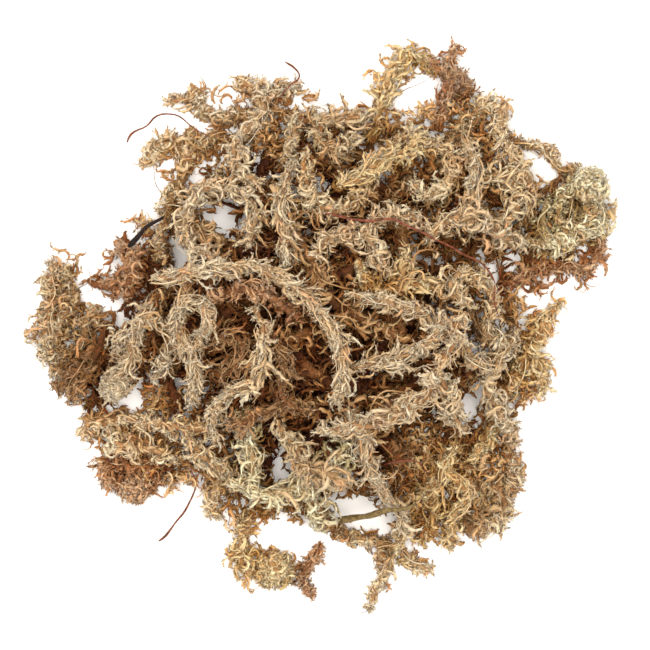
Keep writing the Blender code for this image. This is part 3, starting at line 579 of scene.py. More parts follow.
def cross_frames(paths, first_side):
    """Two directions across each path at each point: one carried along it, one square to it."""
    tangent = unit(np.gradient(paths, axis=1))
    sides = []
    side = first_side
    for place in range(paths.shape[1]):
        along = tangent[:, place]
        side = unit(side - along * (side * along).sum(axis=1, keepdims=True))
        sides.append(side)
    sides = np.stack(sides, axis=1)
    return tangent, sides, np.cross(tangent, sides)


def tubes(paths, radii, sides, flatness, turn, first_side):
    """Points of tubes: path + radius * (cos(angle) * side + flatness * sin(angle) * over).

    paths is tube, place, xyz, and radii is tube, place, angle. turn twists each tube.
    """
    _, side, over = (part[:, :, None] for part in cross_frames(paths, first_side))
    angle = 2 * math.pi * np.arange(sides) / sides
    angle = angle[None, None, :] + turn[:, :, None]
    across = radii * np.cos(angle)
    upward = radii * np.sin(angle) * flatness
    return paths[:, :, None] + across[..., None] * side + upward[..., None] * over


def one_tube(path, radii, flatness=1.0):
    """Points and faces of a single tube, with radii given by place and angle."""
    rings, sides = radii.shape
    points = tubes(path[None], radii[None], sides, flatness, np.zeros((1, rings)), FIRST_SIDE)
    return points, tube_faces(1, rings, sides)


def tube_faces(count, rings, sides):
    """Quads between neighbouring rings of every tube, and a face over both of its ends."""
    ring = np.arange(rings - 1)[:, None] * sides
    corner = np.arange(sides)[None, :]
    after = (corner + 1) % sides
    quads = [ring + corner, ring + after, ring + sides + after, ring + sides + corner]
    quads = np.stack(quads, axis=-1)
    starts = np.arange(count) * rings * sides
    quads = (starts[:, None, None, None] + quads[None]).reshape(-1, 4)
    bottoms = starts[:, None] + np.arange(sides)[::-1]
    tops = starts[:, None] + (rings - 1) * sides + np.arange(sides)
    return [quads, bottoms, tops]


# %% One mesh out of many point and face arrays
def mesh_of(name, points, faces):
    """A mesh from an array of points, and arrays of faces with three or more corners each."""
    sizes = np.concatenate([np.full(len(group), group.shape[1]) for group in faces])
    corners = np.concatenate([group.ravel() for group in faces])
    mesh = bpy.data.meshes.new(name)
    mesh.vertices.add(len(points))
    mesh.vertices.foreach_set("co", points.astype(np.float32).ravel())
    mesh.loops.add(len(corners))
    mesh.loops.foreach_set("vertex_index", corners.astype(np.int32))
    mesh.polygons.add(len(sizes))
    mesh.polygons.foreach_set("loop_start", (np.cumsum(sizes) - sizes).astype(np.int32))
    mesh.update(calc_edges=True)
    mesh.validate()
    return mesh


class Solid:
    """Collects points, colours and faces, and makes one mesh of them. shade multiplies colours:
    painted shade and older brown on the bed strands.
    """

    def __init__(self):
        self.points = []
        self.colours = []
        self.faces = []
        self.count = 0
        self.shade = 1.0

    def add(self, points, colours, faces):
        flat = points.reshape(-1, 3)
        self.points.append(flat)
        self.colours.append(np.broadcast_to(colours, points.shape).reshape(-1, 3))
        self.faces += [face + self.count for face in faces]
        self.count += len(flat)

    def triangles(self):
        """How many triangles the faces make."""
        return sum(len(face) * (face.shape[1] - 2) for face in self.faces)

    def piece(self, name, material, node=None):
        """The finished object, centred as the solids are, which replaces its node if it has one."""
        points = np.concatenate(self.points)
        points[:, 2] = lifted(points[:, 2])
        points[:, :2] += CENTRING
        mesh = mesh_of(name, points * MM, self.faces)
        colour = mesh.color_attributes.new("moss_colour", "FLOAT_COLOR", "POINT")
        rgba = np.ones((len(points), 4), dtype=np.float32)
        rgba[:, :3] = np.concatenate(self.colours) * self.shade
        colour.data.foreach_set("color", rgba.ravel())
        mesh.shade_smooth()
        mesh.materials.append(material)
        thing = bpy.data.objects.new(name, mesh)
        bpy.context.scene.collection.objects.link(thing)
        if node:
            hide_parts(node)
        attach(thing, "root")
        return thing


def lifted(heights):
    """Heights kept over the table: low ones become least + room * e^((height - soft) / room)."""
    fall = np.minimum((heights - SOFT_HEIGHT) / SOFT_ROOM, 0)
    low = LEAST_HEIGHT + SOFT_ROOM * np.exp(fall)
    return np.where(heights < SOFT_HEIGHT, low, heights)


# %% [markdown]
# ## Branches
# A branch leaves its stem at a slant, arches over and hooks back at its tip. Its path is an
# arc whose bend grows towards the tip. It is thin where it leaves the stem, thickest before
# the middle of its length, and drawn out to a point. Dry branches shrink and wrap round the
# strand, so most of them bend back towards the stem: that makes the lumpy, ropy outline of
# dried moss, where fresh moss would look like a bottle brush.

# %% Kinds of strand
# A branch starts within spread of the stem and heads along it (order), away from it (out)
# and anywhere (chaos). hug bends it back. length and width are in mm, curl is in radians,
# and per_mm counts branches on each mm of stem. fine is the share of threads, fibres run along
# the stem, core is the radius of the felted middle, and leaves is their number on a branch,
# which is LEAVES_ON_BRANCH where a row ends before it.
KIND_FIELDS = ("spread", "order", "out", "chaos", "hug", "length", "curl", "fine", "width",
               "per_mm", "fibres", "core", "leaves")
KIND_ROWS = {
    "rope": (2.1, 1.2, 0.30, 0.45, 0.9, (5, 9.5), (0.5, 2.6), 0.22, 0.66, 3.3, 4, 0.9),
    "fibrous": (2.1, 1.3, 0.24, 0.45, 0.8, (5, 9.5), (0.3, 2.4), 0.32, 0.62, 4.2, 7, 0.9),
    "shaggy": (2.3, 0.7, 0.45, 0.55, 0.9, (5, 9.5), (1.0, 3.4), 0.22, 0.68, 3.7, 2, 1.1),
    "curly": (2.5, 0.4, 0.60, 0.5, 1.0, (5.5, 10.5), (1.8, 4.6), 0.20, 0.66, 3.5, 1, 1.1),
    "plume": (2.8, 0.6, 0.55, 0.5, 0.6, (6, 10), (1.2, 4.2), 0.45, 0.54, 5.0, 3, 1.1),
    "fluff": (3.5, 0.3, 0.45, 0.9, 1.0, (4, 7.5), (1.8, 4.8), 0.30, 0.60, 5.5, 1, 1.3),
    "mat": (3.3, 0.4, 0.40, 0.9, 0.9, (5, 9), (1.2, 4.0), 0.22, 0.68, 4.2, 1, 1.3),
    "bed": (6.5, 0.3, 0.3, 1.0, 0.4, (6, 11), (1.0, 4.0), 0.15, 0.70, 3.5, 2, 1.8, 4),
}
KINDS = {kind: dict(zip(KIND_FIELDS, row)) for kind, row in KIND_ROWS.items()}
# Strands that are not shaggy, which the others are
STRANDS_OF = {
    "fibrous": "great_arch south_rope vee pale_reed pale_column arch_descent",
    "rope": "ring_left gold_diagonal",
    "curly": "low_bridge gold_head curl_disc centre_curl upper_ring centre_ring white_hump",
    "plume": "pale_plume swirl",
    "fluff": "green_head left_tuft",
    "mat": "bottom_rope rust_ring rust_band rust_curl left_tuft_shade low_left_mat",
    "bed": " ".join(f"bed_{number + 1}" for number in range(BED_NODES)),
}
KIND_OF = {name: kind for kind, names in STRANDS_OF.items() for name in names.split()}
# How much wider or narrower than its kind some strands look
GIRTHS = {
    "low_bridge": 1.25, "loop_left": 1.05, "thin_link": 0.72, "rust_drop": 0.8, "top_left_tip": 0.85,
    "green_rim": 0.9, "rust_pillar": 0.75, "low_left_mat": 1.1, "left_tuft": 1.1,
    "south_west_rope": 1.1, "bottom_rope": 0.78, "right_sweep": 0.9, "corner_tuft": 0.92,
    "upper_right_crest": 0.92, "top_left_crest": 0.92, "left_column": 0.95,
}
# Branches that share a root, and the girth of a side shoot against its main stem
BUNCH = 4
SHOOT_GIRTH = 0.9
# The loose branches under a strand, which are older and browner than those on it; their tint is also
# painted shade, for lying under the strand
UNDERGROWTH = {"length": (5, 9), "curl": (1.0, 4.0), "fine": 0.22, "width": 0.66, "leaves": 5,
               "tint": np.array([0.94, 0.82, 0.68])}
UNDERGROWTH_PER_MM = 2.4
UNDERGROWTH_REACH = 7.5
LOWEST_ROOT = 0.8
# Gaps where no branch may hide the table: x, y, half length, half width, and turn in degrees
GAPS = (
    (-31, 37, 4.0, 2.7, -30), (-46, 24.6, 5, 1.7, -56), (-61.8, -22.1, 4, 2.6, 10),
    (29, 78, 6.5, 2.8, 62), (48.6, -21.4, 5.6, 1.9, 72), (-16, -44, 4.6, 2.8, -30),
    (13.1, -54.3, 5.0, 1.0, 14), (-9, -67, 9.5, 4.2, 0), (16, -62, 4.5, 1.3, 10),
    (71, 51.5, 6.0, 2.8, -39), (-42, 49, 4.5, 2.0, 35), (-74.2, 11.5, 6, 3, -40),
    (-50.2, 53.8, 3.5, 1.6, 10), (69.6, 38, 3.5, 1.3, 90), (61, 23, 3.2, 1.6, 0),
)
print(f"{len(KINDS)} kinds of strand, and {len(GAPS)} gaps between them")

# %% The paths of many branches
# Lowest and highest swing, pace and phase of the waves that crinkle a branch
CRINKLE = ([[0.1], [5], [0]], [[0.65], [13], [FULL_TURN]])


def along_stem(stem, marks):
    """Points on a stem at fractional places, with the directions along and across it there."""
    index = marks * (len(stem) - 1)
    grid = np.arange(len(stem))
    directions = [part[0] for part in cross_frames(stem[None], FIRST_SIDE)]
    found = []
    for values in [stem] + directions:
        found.append(np.column_stack([np.interp(index, grid, values[:, axis]) for axis in range(3)]))
    return found[0], unit(found[1]), unit(found[2]), unit(found[3])


def branch_paths(roots, heading, bend_side, length, curl, places, rng):
    """Arcs from the roots: the heading turns towards bend_side by curl * t^1.4 at place t.

    Two waves, one across the arc and one in its plane, crinkle it. The turned headings are
    summed along the branch.
    """
    t = np.linspace(0, 1, places)[None, :]
    turn = curl[:, None] * t ** 1.4
    third = np.cross(heading, bend_side)
    way = np.cos(turn)[..., None] * heading[:, None] + np.sin(turn)[..., None] * bend_side[:, None]
    for direction in (third, bend_side):
        swing, pace, phase = rng.uniform(*CRINKLE, (3, len(roots)))
        wave = swing[:, None] * np.sin(t * pace[:, None] + phase[:, None])
        way = way + wave[..., None] * direction[:, None]
    step = unit(way) * (length / (places - 1))[:, None, None]
    step[:, 0] = 0
    return roots[:, None] + np.cumsum(step, axis=1)


# %% Colour of many branches
# The depth where painted shade begins, the depth over which it grows, and how it deepens a colour
HOLLOW_FROM = -0.7
HOLLOW_FALL = 2.9
DEEPER = 1.3
# The pale table shines through the thin moss of the rim, and adds this where the heap is low
RIM_HEIGHT = 11.0
RIM_LIGHT = np.array([0.17, 0.22, 0.31])
THREAD_SHADE = 0.9
# The inside strands lie under all the others: painted shade, with the browner colour of older moss
BED_BROWN_AND_SHADE = np.array([0.86, 0.73, 0.59])


def patches(points, pace, phase):
    """Soft patches over the clump, from 0 to 1: three slow waves added, and cut at a level."""
    x, y, z = points[..., 0] * pace, points[..., 1] * pace, points[..., 2] * pace
    wave = np.sin(x + phase) * np.sin(0.83 * y + 0.4 * phase)
    wave += 0.7 * np.sin(0.48 * x - 0.74 * y + 0.9 * z)
    wave += 0.5 * np.sin(2.2 * x + 1.9 * y + 2 * phase) + 0.4 * np.sin(2.6 * y - 1.4 * x + 1.7 * z)
    return np.clip(0.4 + 0.45 * wave, 0, 1)


def branch_colours(paths, finish, sides, rng, tint=1.0):
    """Colour of each point: light and dark branches, painted shade at the roots, rust patches, rim
    light, and painted shade with depth.

    With the share of painted shade s = 1 - e^(-depth / fall), a colour c becomes
    c^(1 + DEEPER * s), and then goes over to the brown of old moss, which also stands for deep
    painted shade, by s^2.
    """
    light, dark = (linear(code) for code in MOSS_COLOURS[finish])
    count, places = paths.shape[:2]
    root = paths[:, :1]
    # Coarse and fine patches, and chance, mix the light and the dark tone of the finish
    mix = 0.55 * patches(root, 0.55, 1.0) + 0.5 * patches(root, 1.35, 4.0) - 0.1
    mix = np.clip(mix[..., None] + rng.normal(0.0, 0.12, (count, 1, 1)), -0.1, 1.15)
    base = (light * (1 - mix) + dark * mix) * tint
    # Painted shade at the root of each branch, where it leaves its stem, and a little painted light
    # towards its tip
    t = np.linspace(0, 1, places)[None, :, None]
    fade = np.clip(t * 1.8, 0, 1)
    base = base * ((1 - fade) * ROOT_PAINTED_SHADE + fade) * (0.95 + 0.10 * t)
    base = base * rng.uniform(0.94, 1.06, (count, places, 1))
    # Rust gathers in wide patches, and mostly towards the tips
    rusty = patches(root, 0.42, 2.3) ** 1.5 * patches(root, 1.1, 0.3)
    rusty = 0.95 * rusty[..., None] * rng.uniform(0.4, 1, (count, 1, 1)) * (0.6 + 0.6 * t)
    rusty = np.clip(rusty, 0, 0.85)
    base = base * (1 - rusty) + RUST_STAIN * rusty
    depth, ridge = (part.reshape(count, places, 1) for part in depth_at(paths.reshape(-1, 3)))
    base = base * (1 + RIM_LIGHT * np.clip(1 - ridge / RIM_HEIGHT, 0, 1))
    # Painted shade by depth below the ridges: the colour is deepened and turned to the brown of old
    # moss
    shade = 1 - np.exp(-np.clip(depth - HOLLOW_FROM, 0, None) / HOLLOW_FALL)
    shade = np.clip(shade * rng.uniform(0.8, 1.05, (count, 1, 1)), 0, 0.95)
    base = np.clip(base, 0, 1) ** (1 + DEEPER * shade)
    base = base * (1 - shade ** 2) + OLD_BROWN_AND_SHADE * shade ** 2
    return np.repeat(np.clip(base, 0, 1)[:, :, None], sides, axis=2)


# %% [markdown]
# ## Leaves
# A leaf of a branch is 1.5 mm long, spoon-shaped, and hugs the branch with its tip a little
# off. At this size a closed blade of four triangles is enough: a base, a tip, and two edges
# that are folded up from the line between them. The leaves sit in a spiral round the branch.

# %% Leaves on many branches
# Colours at the base, at both edges and at the tip of a leaf, which multiply the branch's: painted
# shade at the base, where the leaf meets its branch
LEAF_PAINTED_SHADE = np.array([[0.96, 0.85, 0.73], [1.0, 0.98, 0.94], [1.0, 0.98, 0.94], [1.0, 0.99, 0.96]])
LEAF_TURN = 2.4
LEAF_CORNERS = ((0, 2, 1), (1, 2, 3), (0, 1, 3), (0, 3, 2))


def add_leaves(solid, paths, widths, colours, each, rng):
    """A closed four-sided blade for each leaf: base, left edge, right edge and tip.

    The base sits on the branch. The tip is at size along it and a little off it, by width +
    size * spread / 2. The edges are 0.42 of the way along, half a leaf's width to either side.
    """
    tangent, side, over = cross_frames(paths, unit(rng.normal(size=(len(paths), 3))))
    count, places = paths.shape[:2]
    marks = (np.arange(each) + 0.6) / each * (places - 1.6)
    low = marks.astype(int)
    share = (marks - low)[None, :, None]
    root, along, side, over = (v[:, low] * (1 - share) + v[:, low + 1] * share
                               for v in (paths, tangent, side, over))
    width = (widths[:, low] * (1 - share[..., 0]) + widths[:, low + 1] * share[..., 0])[..., None]
    angle = np.arange(each)[None, :] * LEAF_TURN + rng.uniform(0, FULL_TURN, (count, 1))
    along = unit(along)
    out = unit(np.cos(angle)[..., None] * side + np.sin(angle)[..., None] * over)
    across = np.cross(along, out)
    size = LEAF_LENGTH * rng.uniform(0.75, 1.2, (count, each, 1))
    spread = rng.uniform(0.1, 1.0, (count, each, 1))
    base = root + out * width * 0.3
    tip = root + along * size + out * (width + size * spread * 0.5)
    middle = root + along * size * 0.42 + out * (width * 1.15)
    half = across * LEAF_WIDTH / LEAF_LENGTH * size * 0.5
    points = np.stack([base, middle + half, middle - half, tip], axis=2)
    starts = np.arange(count * each)[:, None] * 4
    faces = [starts + np.array(corners) for corners in LEAF_CORNERS]
    # Painted shade at each leaf's base
    tint = colours[:, low, :1] * LEAF_PAINTED_SHADE * rng.uniform(0.94, 1.06, (count, each, 1, 1))
    solid.add(points, np.clip(tint, 0, 1), faces)


# %% Clothing a stem with branches
BRANCH_SIDES = 3
SWELL_WAVE = 5.5
# Share of the fine threads that may lie over a gap
OVER_GAP = 0.3
THREAD_WIDTH = (0.13, 0.30)


def branch_radii(count, places, width, rng):
    """Thin at the root, widest before the middle, narrow at the tip, ragged with leaf edges."""
    t = np.linspace(0, 1, places)
    profile = np.interp(t, [0, 0.12, 0.4, 0.75, 1], [0.4, 0.85, 1.05, 0.85, 0.22])
    scales = 1 + 0.16 * (-1.0) ** np.arange(places)
    ragged = 1 + rng.uniform(-0.3, 0.32, (count, places, BRANCH_SIDES))
    return width[:, None, None] * (profile * scales)[None, :, None] * ragged


def add_branches(solid, roots, heading, bend_side, kind, finish, rng, size=None):
    """Branches from many roots: leafy ones with leaves on them, and fine threads.

    A branch whose middle or tip would lie over a gap is left out, apart from a few threads.
    """
    fine = rng.random(len(roots)) < kind["fine"]
    size = np.ones(len(roots)) if size is None else size
    length = rng.uniform(*kind["length"], len(roots)) * size
    curl = rng.uniform(*kind["curl"], len(roots))
    for thin, places in ((False, 9), (True, 8)):
        chosen = fine == thin
        count = int(chosen.sum())
        if not count:
            continue
        paths = branch_paths(*(values[chosen] for values in (roots, heading, bend_side, length, curl)),
                             places, rng)
        over_gap = in_gap(paths[:, places // 2]) | in_gap(paths[:, -1])
        keep = ~over_gap | (thin & (rng.random(count) < OVER_GAP))
        paths = paths[keep]
        stout = 0.6 + 0.4 * size[chosen][keep]
        count = len(paths)
        paths[..., 2] = lifted(paths[..., 2])
        width = kind["width"] * stout * rng.uniform(0.7, 1.25, count)
        if thin:
            width = rng.uniform(*THREAD_WIDTH, count)
        radii = branch_radii(count, places, width, rng)
        flatness = rng.uniform(0.4, 0.9, (count, 1, 1))
        turn = rng.uniform(0, FULL_TURN, (count, 1))
        turn = turn + np.linspace(0, 1, places) * rng.normal(0, 1.5, (count, 1))
        first_side = unit(rng.normal(size=(count, 3)))
        points = tubes(paths, radii, BRANCH_SIDES, flatness, turn, first_side)
        colours = branch_colours(paths, finish, BRANCH_SIDES, rng, kind.get("tint", 1.0))
        if thin:
            colours = colours * THREAD_SHADE
        solid.add(points, colours, tube_faces(count, places, BRANCH_SIDES))
        if not thin:
            leaves = kind.get("leaves", LEAVES_ON_BRANCH)
            add_leaves(solid, paths, radii.mean(axis=2), colours, leaves, rng)


def in_gap(points):
    """Whether each point lies over a gap: inside the gap's ellipse, seen from above."""
    inside = np.zeros(len(points), dtype=bool)
    for x, y, half_length, half_width, turn in GAPS:
        across, away = points[:, 0] - x, points[:, 1] - y
        cosine, sine = math.cos(math.radians(turn)), math.sin(math.radians(turn))
        along = (across * cosine + away * sine) / half_length
        aside = (away * cosine - across * sine) / half_width
        inside |= along ** 2 + aside ** 2 < 1
    return inside


def by_bunch(values):
    """The same row for all the branches of a bunch."""
    return np.repeat(values, BUNCH, axis=0)


def clothe(solid, stem, kind, finish, rng, girth=1.0):
    """The branches of one stem: fans of BUNCH that share a root, turned by the golden angle.

    Their size swells and shrinks along the stem, and falls towards both of its ends.
    """
    length = (len(stem) - 1) * STEP
    bunches = max(4, int(length * kind["per_mm"] / BUNCH))
    marks = (np.arange(bunches) + rng.random(bunches)) / bunches
    middle, tangent, side, over = along_stem(stem, marks)
    turn = np.arange(bunches) * GOLDEN_ANGLE + rng.normal(0, 0.5, bunches)
    out = np.cos(turn)[:, None] * side + np.sin(turn)[:, None] * over
    end = np.clip(3.5 * np.minimum(marks + 0.07, 1.07 - marks), 0.25, 1)
    swell = 0.96 + 0.16 * np.sin(marks * length / SWELL_WAVE + rng.uniform(0, FULL_TURN))
    swell = swell + rng.normal(0, 0.1, bunches)
    size = girth * (0.7 + 0.3 * end) * swell
    offset = kind["spread"] * end * girth * swell * np.sqrt(rng.uniform(0.12, 1, bunches))
    roots = middle + out * offset[:, None] * np.array([1, 1, 0.8])
    stray = unit(rng.normal(size=(bunches, 3)) * np.array([1, 1, 0.6]))
    lead = kind["order"] * tangent + kind["out"] * out + kind["chaos"] * stray
    roots, out, lead, tangent = (by_bunch(part) for part in (roots, out, lead, tangent))
    count = len(roots)
    heading = unit(lead + 0.38 * rng.normal(size=(count, 3)) * np.array([1, 1, 0.7]))
    roots = roots + rng.normal(0, 0.45, (count, 3)) - heading * rng.uniform(0, 1.5, (count, 1))
    bend = unit(rng.normal(size=(count, 3)) * 0.8 - kind["hug"] * 1.6 * out + 0.4 * tangent)
    bend = unit(bend - heading * (bend * heading).sum(axis=1, keepdims=True))
    add_branches(solid, roots, heading, bend, kind, finish, rng, by_bunch(size))


def undergrow(solid, stem, finish, rng):
    """Loose branches under a stem, between it and the table, on the side of the clump's middle."""
    length = (len(stem) - 1) * STEP
    count = int(length * UNDERGROWTH_PER_MM)
    middle = along_stem(stem, rng.random(count))[0]
    aside = rng.normal(size=(count, 2))
    aside /= np.linalg.norm(aside, axis=1)[:, None]
    inward = -middle[:, :2] / np.maximum(np.linalg.norm(middle[:, :2], axis=1), 1)[:, None]
    outside = (aside * inward).sum(axis=1) < 0
    reach = UNDERGROWTH_REACH * np.sqrt(rng.random(count)) * np.where(outside, 0.15, 1.0)
    roots = middle.copy()
    roots[:, :2] += aside * reach[:, None]
    roots[:, 2] = LOWEST_ROOT + (middle[:, 2] - LOWEST_ROOT) * rng.uniform(0, 0.85, count)
    heading = rng.normal(size=(count, 3)) * np.array([1, 1, 0.35])
    heading[:, :2] += inward * np.where(outside, 1.2, 0.0)[:, None]
    heading = unit(heading)
    bend = unit(np.cross(heading, rng.normal(size=(count, 3)) * np.array([0.4, 0.4, 1])))
    add_branches(solid, roots, heading, bend, UNDERGROWTH, finish, rng)


# %% Fibres along a stem
FIBRE_LENGTH = 20
FIBRE_PLACES = 12
FIBRE_SIDES = 4
# Lowest and highest place, swing, pace and phase of a fibre's two waves
FIBRE_WAVE = ([[-0.9], [0.2], [3], [0]], [[0.9], [0.7], [9], [FULL_TURN]])


def add_fibres(solid, stem, kind, finish, rng):
    """Long fibres beside a stem: its path plus two slow waves across it for each fibre."""
    length = (len(stem) - 1) * STEP
    share = min(1.0, FIBRE_LENGTH / length)
    count = int(kind["fibres"] / share) + 1
    t = np.linspace(0, 1, FIBRE_PLACES)
    first = rng.uniform(-0.1, 1 - 0.8 * share, count)
    marks = first[:, None] + share * rng.uniform(0.5, 1, (count, 1)) * t
    marks = np.clip(marks, 0, 1) + np.linspace(0, 1e-4, FIBRE_PLACES)
    found = along_stem(stem, marks.ravel())
    middle, _, side, over = (part.reshape(count, FIBRE_PLACES, 3) for part in found)
    waves = []
    for _ in range(2):
        place, swing, pace, phase = rng.uniform(*FIBRE_WAVE, (4, count))[..., None]
        waves.append(kind["spread"] * (place + swing * np.sin(t[None, :] * pace + phase)))
    paths = middle + waves[0][..., None] * side + waves[1][..., None] * over
    paths[..., 2] = lifted(paths[..., 2])
    width = rng.uniform(0.14, 0.36, count)
    profile = np.interp(t, [0, 0.1, 0.8, 1], [0.3, 1, 0.8, 0.1])
    ragged = rng.uniform(0.8, 1.25, (count, FIBRE_PLACES, FIBRE_SIDES))
    radii = width[:, None, None] * profile[None, :, None] * ragged
    turn = rng.uniform(0, FULL_TURN, (count, 1)) + t[None, :] * 2.0
    flatness = rng.uniform(0.5, 1, (count, 1, 1))
    first_side = unit(rng.normal(size=(count, 3)))
    points = tubes(paths, radii, FIBRE_SIDES, flatness, turn, first_side)
    colours = branch_colours(paths, finish, FIBRE_SIDES, rng)
    solid.add(points, colours, tube_faces(count, FIBRE_PLACES, FIBRE_SIDES))


# %% Stems
CORE_SIDES = 9
CORE_FLATNESS = 0.85
CORE_CLEARANCE = 0.75
HEAD_CORE = 0.75


def add_core(solid, stem, radius, finish, rng, head=0.0):
    """The felted middle of a strand: a lumpy tube, radius * (1 + noise), closed at both ends.

    Where the strand has a head, the tube swells to a ball round its last point but one, whose
    radius is HEAD_CORE of the head's: sqrt(radius^2 - distance^2).
    """
    rings = 2 * len(stem) - 1
    index = np.linspace(0, len(stem) - 1, rings)
    grid = np.arange(len(stem))
    path = np.column_stack([np.interp(index, grid, stem[:, axis]) for axis in range(3)])
    ends = np.clip(np.minimum(index + 0.3, len(stem) - 0.7 - index) / 2, 0.08, 1) ** 0.5
    size = radius * ends
    if head:
        away = np.linalg.norm(path - stem[-2], axis=1)
        size = np.maximum(size, np.sqrt(np.clip((HEAD_CORE * head) ** 2 - away ** 2, 0, None)))
    path[:, 2] = np.maximum(path[:, 2], CORE_CLEARANCE * size)
    lumps = 1 + 0.32 * rng.normal(size=(rings, CORE_SIDES))
    lumps = (lumps + np.roll(lumps, 1, axis=1)) / 2
    points, faces = one_tube(path, size[:, None] * np.clip(lumps, 0.6, 1.4), CORE_FLATNESS)
    raised = path + np.array([0, 0, radius])
    colours = branch_colours(raised[None], finish, CORE_SIDES, rng)
    # Painted shade on the core under the branches, with dark painted specks of shade between its
    # fibres
    colours = colours * CORE_PAINTED_SHADE * rng.uniform(0.45, 1.2, (1, rings, CORE_SIDES, 1))
    solid.add(points, np.clip(colours, 0, 1), faces)


# %% Heads
HEAD_KIND = {"length": (3, 5.5), "curl": (1.5, 4.0), "fine": 0.15, "width": 0.66}
HEAD_BRANCHES_PER_MM = 80


def add_head(solid, stem, radius, finish, rng):
    """The capitulum: short young branches all round the stem's end, curled inwards.

    Their roots are a spiral over a ball: even levels, each turned by the golden angle.
    """
    count = int(HEAD_BRANCHES_PER_MM * radius)
    level = 1 - 2 * (np.arange(count) + 0.5) / count
    ring = np.sqrt(1 - level ** 2)
    angle = np.arange(count) * GOLDEN_ANGLE
    out = np.column_stack([ring * np.cos(angle), ring * np.sin(angle), level])
    roots = stem[-2] + out * radius * rng.uniform(0.4, 1.1, (count, 1))
    twist = unit(np.cross(out, rng.normal(size=(count, 3))))
    add_branches(solid, roots, unit(out + 0.8 * twist), twist - 0.5 * out, HEAD_KIND, finish, rng)


# %% [markdown]
# ## The material of dry moss
# Dry sphagnum leaves are one cell thick and empty, matt and a little translucent. The colour
# comes from the mesh, point by point, and a little light spreads inside the leaves. The shader
# adds what is finer than a leaf: flecks where cells have broken, and a bump of the same size.
# They are 0.8 mm, a few times coarser than real ones, so that the eye can find them.

# %% Materials
SPECULAR = 0.2
BUMP_STRENGTH = 0.5


def add_node(tree, kind, settings=None, links=None):
    """Adds a node to a tree, sets its properties and inputs, and links its inputs."""
    node = tree.nodes.new(kind)
    for key, value in (settings or {}).items():
        if key in node.inputs:
            node.inputs[key].default_value = value
        else:
            setattr(node, key, value)
    for key, source in (links or {}).items():
        tree.links.new(source, node.inputs[key])
    return node


def dry_material(name, grain, detail, bump, roughness):
    """A matt material with noise of one grain, which also drives a bump of that many mm."""
    material = bpy.data.materials.new(name)
    material.use_nodes = True
    tree = material.node_tree
    shader = tree.nodes["Principled BSDF"]
    place = add_node(tree, "ShaderNodeTexCoord")
    noise = add_node(tree, "ShaderNodeTexNoise", {"Scale": 1 / (grain * MM), "Detail": detail},
                     {"Vector": place.outputs["Object"]})
    relief = add_node(tree, "ShaderNodeBump", {"Strength": BUMP_STRENGTH, "Distance": bump * MM},
                      {"Height": noise.outputs["Fac"]})
    tree.links.new(relief.outputs["Normal"], shader.inputs["Normal"])
    shader.inputs["Roughness"].default_value = roughness
    shader.inputs["Specular IOR Level"].default_value = SPECULAR
    return material, tree, shader, noise


def moss_material(name):
    """Dry leaf tissue: attribute colour, broken by flecks, with light spread inside it."""
    material, tree, shader, flecks = dry_material(name, 0.8, 3.0, 0.12, 0.8)
    tint = add_node(tree, "ShaderNodeAttribute", {"attribute_name": "moss_colour"})
    strength = add_node(tree, "ShaderNodeMapRange",
                        {"From Min": 0.3, "From Max": 0.7, "To Min": 0.90, "To Max": 1.08},
                        {"Value": flecks.outputs["Fac"]})
    colour = add_node(tree, "ShaderNodeVectorMath", {"operation": "SCALE"},
                      {"Vector": tint.outputs["Color"], "Scale": strength.outputs["Result"]})
    tree.links.new(colour.outputs["Vector"], shader.inputs["Base Color"])
    shader.inputs["Subsurface Weight"].default_value = 0.5
    shader.inputs["Subsurface Radius"].default_value = (1.0, 0.95, 0.9)
    shader.inputs["Subsurface Scale"].default_value = 1.0 * MM
    return material


materials = {finish: moss_material("dry_sphagnum_" + finish) for finish in MOSS_COLOURS}
print(f"{len(materials)} moss materials")

# %% [markdown]
# ## Clothing the strands
# Each strand becomes one piece, in the place of its solid: a felted core, fibres and branches
# along every stem, and loose branches under it.

# %% Build every strand
THINNEST_WITH_UNDERGROWTH = 0.8
triangles = 0
for name in laying_order:
    spec = strands[name]
    finish = spec["finish"]
    head = spec["head"]
    bed = name.startswith("bed")
    rng = seeded(name + " moss")
    kind = KINDS[KIND_OF.get(name, "shaggy")]
    solid = Solid()
    # Painted shade and older brown over the whole of each bed strand
    solid.shade = BED_BROWN_AND_SHADE if bed else 1.0
    for number, stem in enumerate(laid[name]):
        girth = GIRTHS.get(name, 1.0) * (SHOOT_GIRTH if number and not bed else 1.0)
        add_core(solid, stem, girth * kind["core"], finish, rng, 0 if number else head)
        add_fibres(solid, stem, kind, finish, rng)
        clothe(solid, stem, kind, finish, rng, girth)
        if not bed and girth > THINNEST_WITH_UNDERGROWTH:
            undergrow(solid, stem, finish, rng)
    if head:
        add_head(solid, laid[name][0], head, finish, rng)
    piece = solid.piece(name + "_strand", materials[finish], name)
    print(f"{name}: {solid.triangles()} triangles")
    triangles += solid.triangles()
print(f"{len(laying_order)} strands, {triangles} triangles")

# %% [markdown]
# Branches break off as the dry moss is handled, and fall through to the table. They close the
# openings between the lowest strands. They are one piece more, which replaces nothing.

